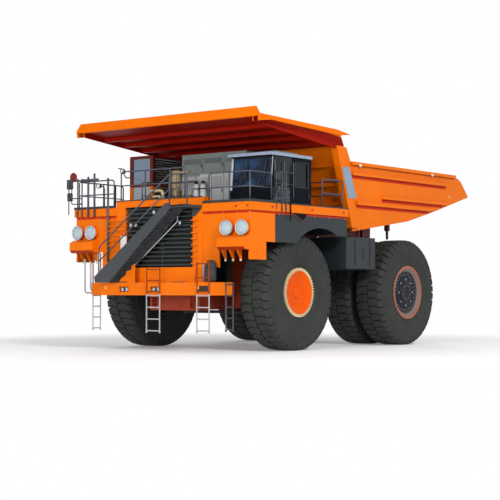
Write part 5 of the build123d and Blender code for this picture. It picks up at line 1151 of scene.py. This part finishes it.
# Painted shadow: red strips under each of the body's ribs.
rib_shadows = blocks(
    [(x, RIBS_Y, z) for x, z in ((-2.255, 5.42), (-3.05, 4.75), (-1.80, 4.49))],
    [(long, 0.006, RIB_HIGH) for long in (6.0, 3.95, 4.5)],
    0.002,
)
for name, shape, finish in (
    ("body_side_markers", blocks([(0.347, 3.398, 5.80), (-4.184, 3.398, 5.80)], MARKER), WHITE_MARK),
    ("body_tail_marker", blocks([(-5.52, 3.305, 5.12)], MARKER), AMBER_MARK),
    ("body_blank_plate", blank, PLATE_BLUE),
    ("rib_shadow_lines", rib_shadows, SHADOW_RED),
):
    on_both_sides(name, shape, finish, "orange_paint", "dump_body")
panel_bolts = [(6.181, y, z) for y in (2.50, 3.02, 3.44) for z in (3.06, 3.30, 3.90, 4.06)]
side_bolts = [(x, 3.471, 4.04) for x in (1.4, 2.2, 3.0, 3.8, 4.8)]
heads = joined(bolts(panel_bolts, FORWARD), bolts(side_bolts, LEFTWARD))
on_both_sides("panel_bolts", heads, BOLT_STEEL, "orange_paint")
print("reflectors", len(red), "bolts", (len(panel_bolts) + len(side_bolts)) * 2 + len(beam_bolts))

# %% Brackets, tow bar slot lining and bumper fittings
TIP_X, WEDGE = 6.185, [(4.13, 4.10), (3.42, 4.10), (3.55, 3.98), (3.67, 3.88)]
tip_ys = [s * y for y in (2.58, 2.857, 3.134) for s in SIDES]
tips = bars([(TIP_X, y, 2.72) for y in tip_ys], [(TIP_X, y, 2.655) for y in tip_ys], 0.030, 12)
grab = pipe([(6.36, 1.90, 2.05), (6.36, 1.90, 2.50), (6.30, 1.80, 2.60)], 0.022, bend=0.08)
step_plates = blocks([(6.50, 1.05, 2.065), (6.50, -1.2, 2.065)], (0.10, 0.46, 0.02))
slot_lining = blocks([(6.40, 2.03, 1.865)], (0.28, 0.38, 0.14))
wedge_edge = bars([(4.13, 3.50, 4.09)], [(3.67, 3.50, 3.88)], 0.009, 6)
side_post = bars([(4.33, 3.546, 3.86)], [(4.33, 3.546, 5.23)], 0.024, 10)
put_piece("bracket_tips", tips, CREAM, "orange_paint")
put_piece("bumper_grab_bar", grab, PALE_GREY, "rail_grey", smooth=True)
put_piece("bumper_step_plates", step_plates, DARK_TRIM, "rail_grey")
put_piece("bumper_slot_lining", slot_lining, BLACK_HOLE, "orange_paint")
on_both_sides("fender_bracket", plate(WEDGE, 3.471, 3.50), CAB_BLACK, "charcoal_paint")
on_both_sides("fender_bracket_edge", wedge_edge, COPPER, "charcoal_paint")
on_both_sides("deck_side_post", side_post, CAB_BLACK, "rail_grey")
print("bracket tips", len(tip_ys))

# %% [markdown]
# ## Accumulators, grease tank and pipes
# The upright pressure vessels are pale drums with dark domed ends and two bands each. A dark grease
# tank stands on the bumper's left end. Between the resistor housing and the cabinet runs a bundle
# of cream pipes with rounded elbows, rigid ones that stand on the deck.

# %% Vessels and pipes
def vessel(x, y, low, high, radius):
    """A drum with domed ends, as a turned profile set upright."""
    tall = high - low
    shares, heights = (0.3, 0.85, 1, 1, 0.88, 0.45), (0, 0.03, 0.09, tall - 0.11, tall - 0.04, tall)
    return lathe([(share * radius, z) for share, z in zip(shares, heights)], (x, y, low), "z", 36)


def band(x, y, z, radius, high=0.04):
    """A clamp band round an upright drum."""
    inner, outer = radius - 0.004, radius + 0.008
    return lathe([(inner, 0), (outer, 0), (outer, high), (inner, high)], (x, y, z), "z", 36, True)


DRUM_R, DRUM_X, GREASE_R, GREASE_AT = 0.10, 4.3, 0.163, (6.37, 2.175)
drum_ys = (-0.11, 0.16)
caps = [vessel(DRUM_X, y, 5.10, 5.23, 0.055) for y in drum_ys]
caps += [band(DRUM_X, y, z, DRUM_R) for y in drum_ys for z in (4.62, 4.95)]
grease = [vessel(*GREASE_AT, 2.05, 2.64, GREASE_R), vessel(*GREASE_AT, 2.60, 2.68, 0.10)]
grease += [band(*GREASE_AT, z, GREASE_R) for z in (2.2, 2.46)]
for name, shapes, finish in (
    ("accumulator_drums", [vessel(DRUM_X, y, 4.41, 5.14, DRUM_R) for y in drum_ys], PALE_GREY),
    ("accumulator_caps", caps, DARK_TRIM),
    ("grease_tank", grease, FRAME_GREY),
):
    put_piece(name, joined(*shapes), finish, "pale_grey_paint", nodes="accumulators", smooth=True)
THICK, THIN = 0.05, 0.035
ROUTES = [
    (THICK, [(3.2, -1.62, 4.40), (3.2, -1.62, 5.35), (3.2, -1.35, 5.35)]),
    (THICK, [(3.45, -1.66, 4.40), (3.45, -1.66, 5.10), (3.45, -1.35, 5.10)]),
    (THICK, [(4.25, -1.55, 4.36), (4.25, -1.55, 5.00), (4.25, -2.10, 5.00), (4.08, -2.10, 5.00)]),
    (THIN, [(4.45, -1.45, 4.36), (4.45, -1.45, 4.80), (4.45, -2.30, 4.80), (4.08, -2.30, 4.80)]),
    (THIN, [(3.7, -1.50, 4.40), (3.7, -1.50, 5.60), (3.7, -1.00, 5.60), (3.61, -1.00, 5.60)]),
    (THIN, [(3.9, -0.70, 4.41), (3.9, -0.70, 4.95), (3.61, -0.70, 4.95)]),
]
elbows = joined(*[pipe(route, radius, 14, 0.14) for radius, route in ROUTES])
put_piece("deck_pipes", elbows, CREAM, "pale_grey_paint", smooth=True)
print("vessels", len(drum_ys) + 1, "pipes", len(ROUTES))

# %% [markdown]
# ## Air cleaners, resistor housing and cabinet
# The air cleaners are drums with ribbed bodies and a rain cap. The resistor housing is a maroon
# frame with sloped slats along its sides and two panels on its front, blue above and pale below.
# The cabinet has a row of pale doors below and grey ones above, each with a louvred upper half and
# a handle.

# %% Air cleaners
RIB_STEPS, DRUM_OUT, RIB_OUT = 27, 0.180, 0.008
CLEANERS = [(2.6, -1.95), (3.1, -1.95)]


def cleaner(x, y):
    """A drum with ribs: the radius steps out by 8 mm on each rib, turned round an upright line."""
    radii = DRUM_OUT + RIB_OUT * (np.arange(RIB_STEPS) % 2)
    profile = [(0.10, 0.0), (0.17, 0.02), *zip(radii, np.linspace(0.06, 1.10, RIB_STEPS))]
    profile += [(0.188, 1.14), (0.188, 1.22), (0.15, 1.26), (0.15, 1.32), (0.189, 1.34), (0.186, 1.38)]
    return lathe([*profile, (0.09, 1.42)], (x, y, FLOOR_Z), "z", 40)


duct = pipe([(x, y, 5.60) for x, y in CLEANERS], 0.11, 20)
drums = joined(*[cleaner(*place) for place in CLEANERS], duct)
piece = put_piece("air_cleaner_drums", drums, CREAM, "charcoal_paint", nodes="air_cleaners")
print("air cleaner faces", len(piece.data.polygons))

# %% Slats and panels of the resistor housing
def slat_bank(x0, x1, y0, y1, z0, z1, axis, count):
    """Sloped slats over a rectangle: each a thin parallelogram, carried along the rectangle."""
    pitch = (z1 - z0) / count
    low, high, start, end, along = (x0, x1, y0, y1, "y") if axis == "x" else (y0, y1, x0, x1, "x")
    edge = [(low, 0.8), (low, 0.65), (high, 0.1), (high, 0.25)]
    lifts = z0 + pitch * np.arange(count)
    return joined(*[plate([(a, z + share * pitch) for a, share in edge], start, end, along) for z in lifts])


FRONT_AT, SIDE_ROWS = -2.67, ((4.44, 5.16, 9), (5.29, 6.07, 10))
slats = [
    slat_bank(2.38, 3.92, y0, y1, low, high, "y", count)
    for low, high, count in SIDE_ROWS
    for y0, y1 in ((-3.11, -3.15), (-2.23, -2.19))
]
for name, z, tall, strips, strip, finish in (
    ("resistor_front_lower", 4.80, 0.74, [4.50 + 0.12 * k for k in range(6)], 0.025, PANEL_PALE),
    ("resistor_front_panel", 5.68, 0.78, (5.42, 5.68, 5.94), 0.03, PLATE_BLUE),
):
    lines = blocks([(4.018, FRONT_AT, strip_z) for strip_z in strips], (0.012, 0.70, strip), 0.003)
    panel = joined(blocks([(4.0, FRONT_AT, z)], (0.03, 0.74, tall)), lines)
    put_piece(name, panel, finish, "pale_grey_paint")
put_piece("resistor_side_slats", joined(*slats), CHARCOAL, "charcoal_paint")
sleeves = [(x, y, 4.76) for x in (2.31, 3.99) for y in (-3.11, -2.23)]
put_piece("resistor_post_sleeves", blocks(sleeves, (0.128, 0.128, 0.84), 0.006), ORANGE, "orange_paint")
print("slats", sum(len(faces) // 2 for points, faces in slats), "sleeves", len(sleeves))

# %% Doors of the cabinet
def door(y0, wide, z0, z1, x):
    """A door leaf on a face that looks forward, with slats in its upper half and a handle."""
    y1, tall = y0 + wide, z1 - z0
    leaf = blocks([(x + 0.012, (y0 + y1) / 2, (z0 + z1) / 2)], (0.024, y1 - y0, tall), 0.005)
    slats = slat_bank(x + 0.02, x + 0.045, y0 + 0.06, y1 - 0.06, z0 + tall * 0.55, z1 - 0.08, "x", 6)
    return leaf, slats, blocks([(x + 0.035, y1 - 0.05, z0 + tall * 0.45)], (0.03, 0.025, 0.12), 0.006)


lower = [door(y, 0.47, 4.46, 5.44, 4.10) for y in (-0.13, 0.36, 0.85)]
lower += [door(y, 0.54, 4.46, 5.44, 3.60) for y in (-1.28, -0.71)]
upper = [door(y, 0.84, 5.52, 6.08, 3.60) for y in (-1.26, -0.40, 0.46)]
for name, row, finish in (("cabinet_doors", lower, PALE_GREY), ("cabinet_upper_doors", upper, CABINET)):
    leaves, louvres = zip(*[parts[:2] for parts in row])
    put_piece(name, joined(*leaves, *louvres), finish, "pale_grey_paint")
handles = joined(*[parts[2] for parts in lower + upper])
put_piece("cabinet_handles", handles, DARK_TRIM, "pale_grey_paint")
print("doors", len(lower + upper))

# %% [markdown]
# ## Cab
# The cab is nearly black. What reads from afar is the pale edge of its roof, a painted highlight,
# the light pillars at the corners of the windscreen and the deep blue of its panes, a painted
# reflection of the sky. Rubber seals frame every pane, two wipers lie on the windscreen, and grab
# rails stand beside the door.

# %% Seals, pillars, wipers and grab rails
PANE_LOW, PANE_HIGH, CAB_SIDE_Y, ROOF_Z = 4.90, 5.74, 3.302, 5.835


def seal(corners, radius=0.016):
    """A rubber cord round a pane: bars between its corners, each run on into the next."""
    corners = np.asarray(corners, float)
    return bars(corners, np.roll(corners, -1, 0), radius, 8)


def around_pane(low, high, bottom=PANE_LOW, top=PANE_HIGH):
    """The corners of an upright pane, each as its place along the wall and its height."""
    return (low, bottom), (high, bottom), (high, top), (low, top)


def screen_x(z):
    """Outer face of the raked windscreen at a height, 9 cm back over 0.955 m."""
    return 4.92 - (z - 4.80) * 0.09 / 0.955


panes = [
    [(screen_x(z), y, z) for y, z in around_pane(1.82, 3.21)],
    [(x, CAB_SIDE_Y, z) for x, z in around_pane(3.99, 4.77)],
    [(x, 1.728, z) for x, z in around_pane(3.18, 4.77)],
    [(2.928, y, z) for y, z in around_pane(1.98, 3.05)],
]
door_pane = [(x, CAB_SIDE_Y, z) for x, z in around_pane(3.11, 3.77, top=5.65)]
handle = pipe(bow(3.12, 3.30, 3.35, 4.74, 4.60), 0.012, bend=0.03)
put_piece("cab_door_seal", joined(seal(door_pane), handle), DARK_TRIM, "charcoal_paint", "cab_door")
PILLAR = [(4.926, 4.80), (4.938, 4.80), (4.846, 5.76), (4.834, 5.76)]
pillars = joined(plate(PILLAR, 1.745, 1.81), plate(PILLAR, 3.262, 3.285))
visor = blocks(
    [(4.985, 2.515, ROOF_Z), (3.94, 3.327, ROOF_Z), (3.94, 1.703, ROOF_Z)],
    [(0.014, 1.64, 0.095), (2.05, 0.012, 0.095), (2.05, 0.012, 0.095)],
)
roof = joined(
    blocks([(3.7, 2.5, 5.93)], (1.1, 0.95, 0.10), 0.03),
    blocks([(3.7, 2.5, 5.99)], (0.9, 0.75, 0.03), 0.01),
)
rib_zs = (4.52, 4.66, 4.80)
side_ribs = bars([(4.02, 3.308, z) for z in rib_zs], [(4.86, 3.308, z - 0.08) for z in rib_zs], 0.012, 6)
wipers = []
for y in (2.05, 2.75):
    foot = np.array([screen_x(4.86) + 0.02, y, 4.86])
    tip = np.array([screen_x(5.40) + 0.02, y + 0.26, 5.40])
    wipers.append(bars([foot], [tip], 0.010, 6))
    wipers.append(bars([tip - [-0.03, 0.02, 0.30]], [tip + [-0.03, 0.02, 0.26]], 0.012, 6))
grabs = [pipe(bow(x, 3.30, 3.37, 4.55, 5.60), 0.016, bend=0.05) for x in (3.95, 4.40, 4.86)]
grabs.append(bars([(3.95, 3.37, z) for z in (4.95, 5.30)], [(4.86, 3.37, z) for z in (4.95, 5.30)], 0.013, 8))
low_panel = blocks([(4.44, CAB_SIDE_Y, 4.62)], (0.86, 0.008, 0.46), 0.003)
front_ribs = blocks([(4.93, 2.515, z) for z in (4.42, 4.56, 4.70)], (0.016, 1.45, 0.03))
tint = plate(around_pane(4.0, 4.76, 4.91, 5.73), 3.304, 3.309)
cab_pieces = {
    "cab_window_seals": (joined(*[seal(pane) for pane in panes]), DARK_TRIM, "charcoal_paint"),
    "cab_pillar_strips": (pillars, PALE_GREY, "pale_grey_paint"),
    "cab_roof_visor": (visor, VISOR_HIGHLIGHT, "pale_grey_paint"),
    "cab_side_lower_panel": (low_panel, RAIL_GREY, "charcoal_paint"),
    "cab_side_ribs": (side_ribs, CAB_BLACK, "charcoal_paint"),
    "cab_wipers": (joined(*wipers), DARK_TRIM, "charcoal_paint"),
    "cab_roof_unit": (roof, CABINET, "pale_grey_paint"),
    "cab_side_tint": (tint, SIDE_PANE, "glass_blue"),
    "cab_front_ribs": (front_ribs, CAB_BLACK, "charcoal_paint"),
}
for name, (shape, finish, slot) in cab_pieces.items():
    put_piece(name, shape, finish, slot)
put_piece("cab_grab_rails", joined(*grabs), RAIL_GREY, "rail_grey", smooth=True)
print("cab pieces", len(cab_pieces) + 2)

# %% [markdown]
# ## Frame, tanks and rear end
# Under the body sit the parts that a mechanic knows: pin heads with their bolts, the caps, gauges
# and straps of the two tanks, air tanks, and the lamps at the tail. Each is small, but bare plates
# would look like a toy from the side and the back.

# %% Tanks, pins and tail
CAP = [(0.05, 0), (0.10, 0.0), (0.10, 0.05), (0.085, 0.07), (0.03, 0.075)]
AIR_TANK = [(0.05, 0), (0.13, 0.03), (0.15, 0.10), (0.15, 0.80), (0.13, 0.87), (0.05, 0.90)]
STRAP = [(1.36, 2.49), (3.33, 2.49), (3.41, 2.58), (3.41, 3.42), (3.33, 3.51), (1.36, 3.51)]
straps = joined(*[pipe([(x, y, z) for y, z in STRAP], 0.018, 6, 0.03) for x in (0.65, -0.20)])
cap_and_gauge = joined(
    lathe(CAP, (0.2, 2.9, 3.495), "z", 24),
    bars([(0.2, 3.415, 2.85)], [(0.2, 3.415, 3.15)], 0.012, 10),
    blocks([(0.2, 3.405, z) for z in (2.84, 3.16)], (0.05, 0.03, 0.04)),
)
on_both_sides("tank_straps", straps, DARK_TRIM, "charcoal_paint")
on_both_sides("tank_cap_and_gauge", cap_and_gauge, FRAME_GREY, "charcoal_paint")
for x, z, y, r in ((-0.75, 1.50, 1.065, 0.085), (-3.90, 3.00, 0.935, 0.135)):
    profile = [(0.4 * r, y), (r, y), (r, y + 0.02), (0.7 * r, y + 0.035), (0.3 * r, y + 0.037)]
    four = bolts(circle(4, r * 0.6, x, y + 0.02, z, 0.5), LEFTWARD, 0.014, 0.02)
    head = joined(turned(profile, (x, 0, z), 24), four)
    on_both_sides(f"pin_head_{round(z * 10)}", head, BOLT_STEEL, "frame_grey")
rail_bolts = [(x, 0.771, z) for x in (5.1, 4.7, 4.3, 2.9, 2.5) for z in (1.36, 1.76)]
rail_bolts += [(x, 0.771, z) for x in (-1.9, -2.3, -2.7, -3.2) for z in (2.72, 2.98)]
tail = blocks([(-4.075, y, 2.98) for y in (0.54, 0.70)], (0.03, 0.13, 0.11), 0.006)
air_tanks = joined(*[lathe(AIR_TANK, (1.15, 1.02, z), "x", 28) for z in (2.05, 2.42)])
on_both_sides("tail_lamps", tail, RED_MARK, "lamp")
on_both_sides("frame_bolts", bolts(rail_bolts, LEFTWARD, 0.02, 0.016), BOLT_STEEL, "frame_grey")
on_both_sides("air_tanks", air_tanks, CHARCOAL, "frame_grey", smooth=True)
print("frame bolts", len(rail_bolts) * 2)
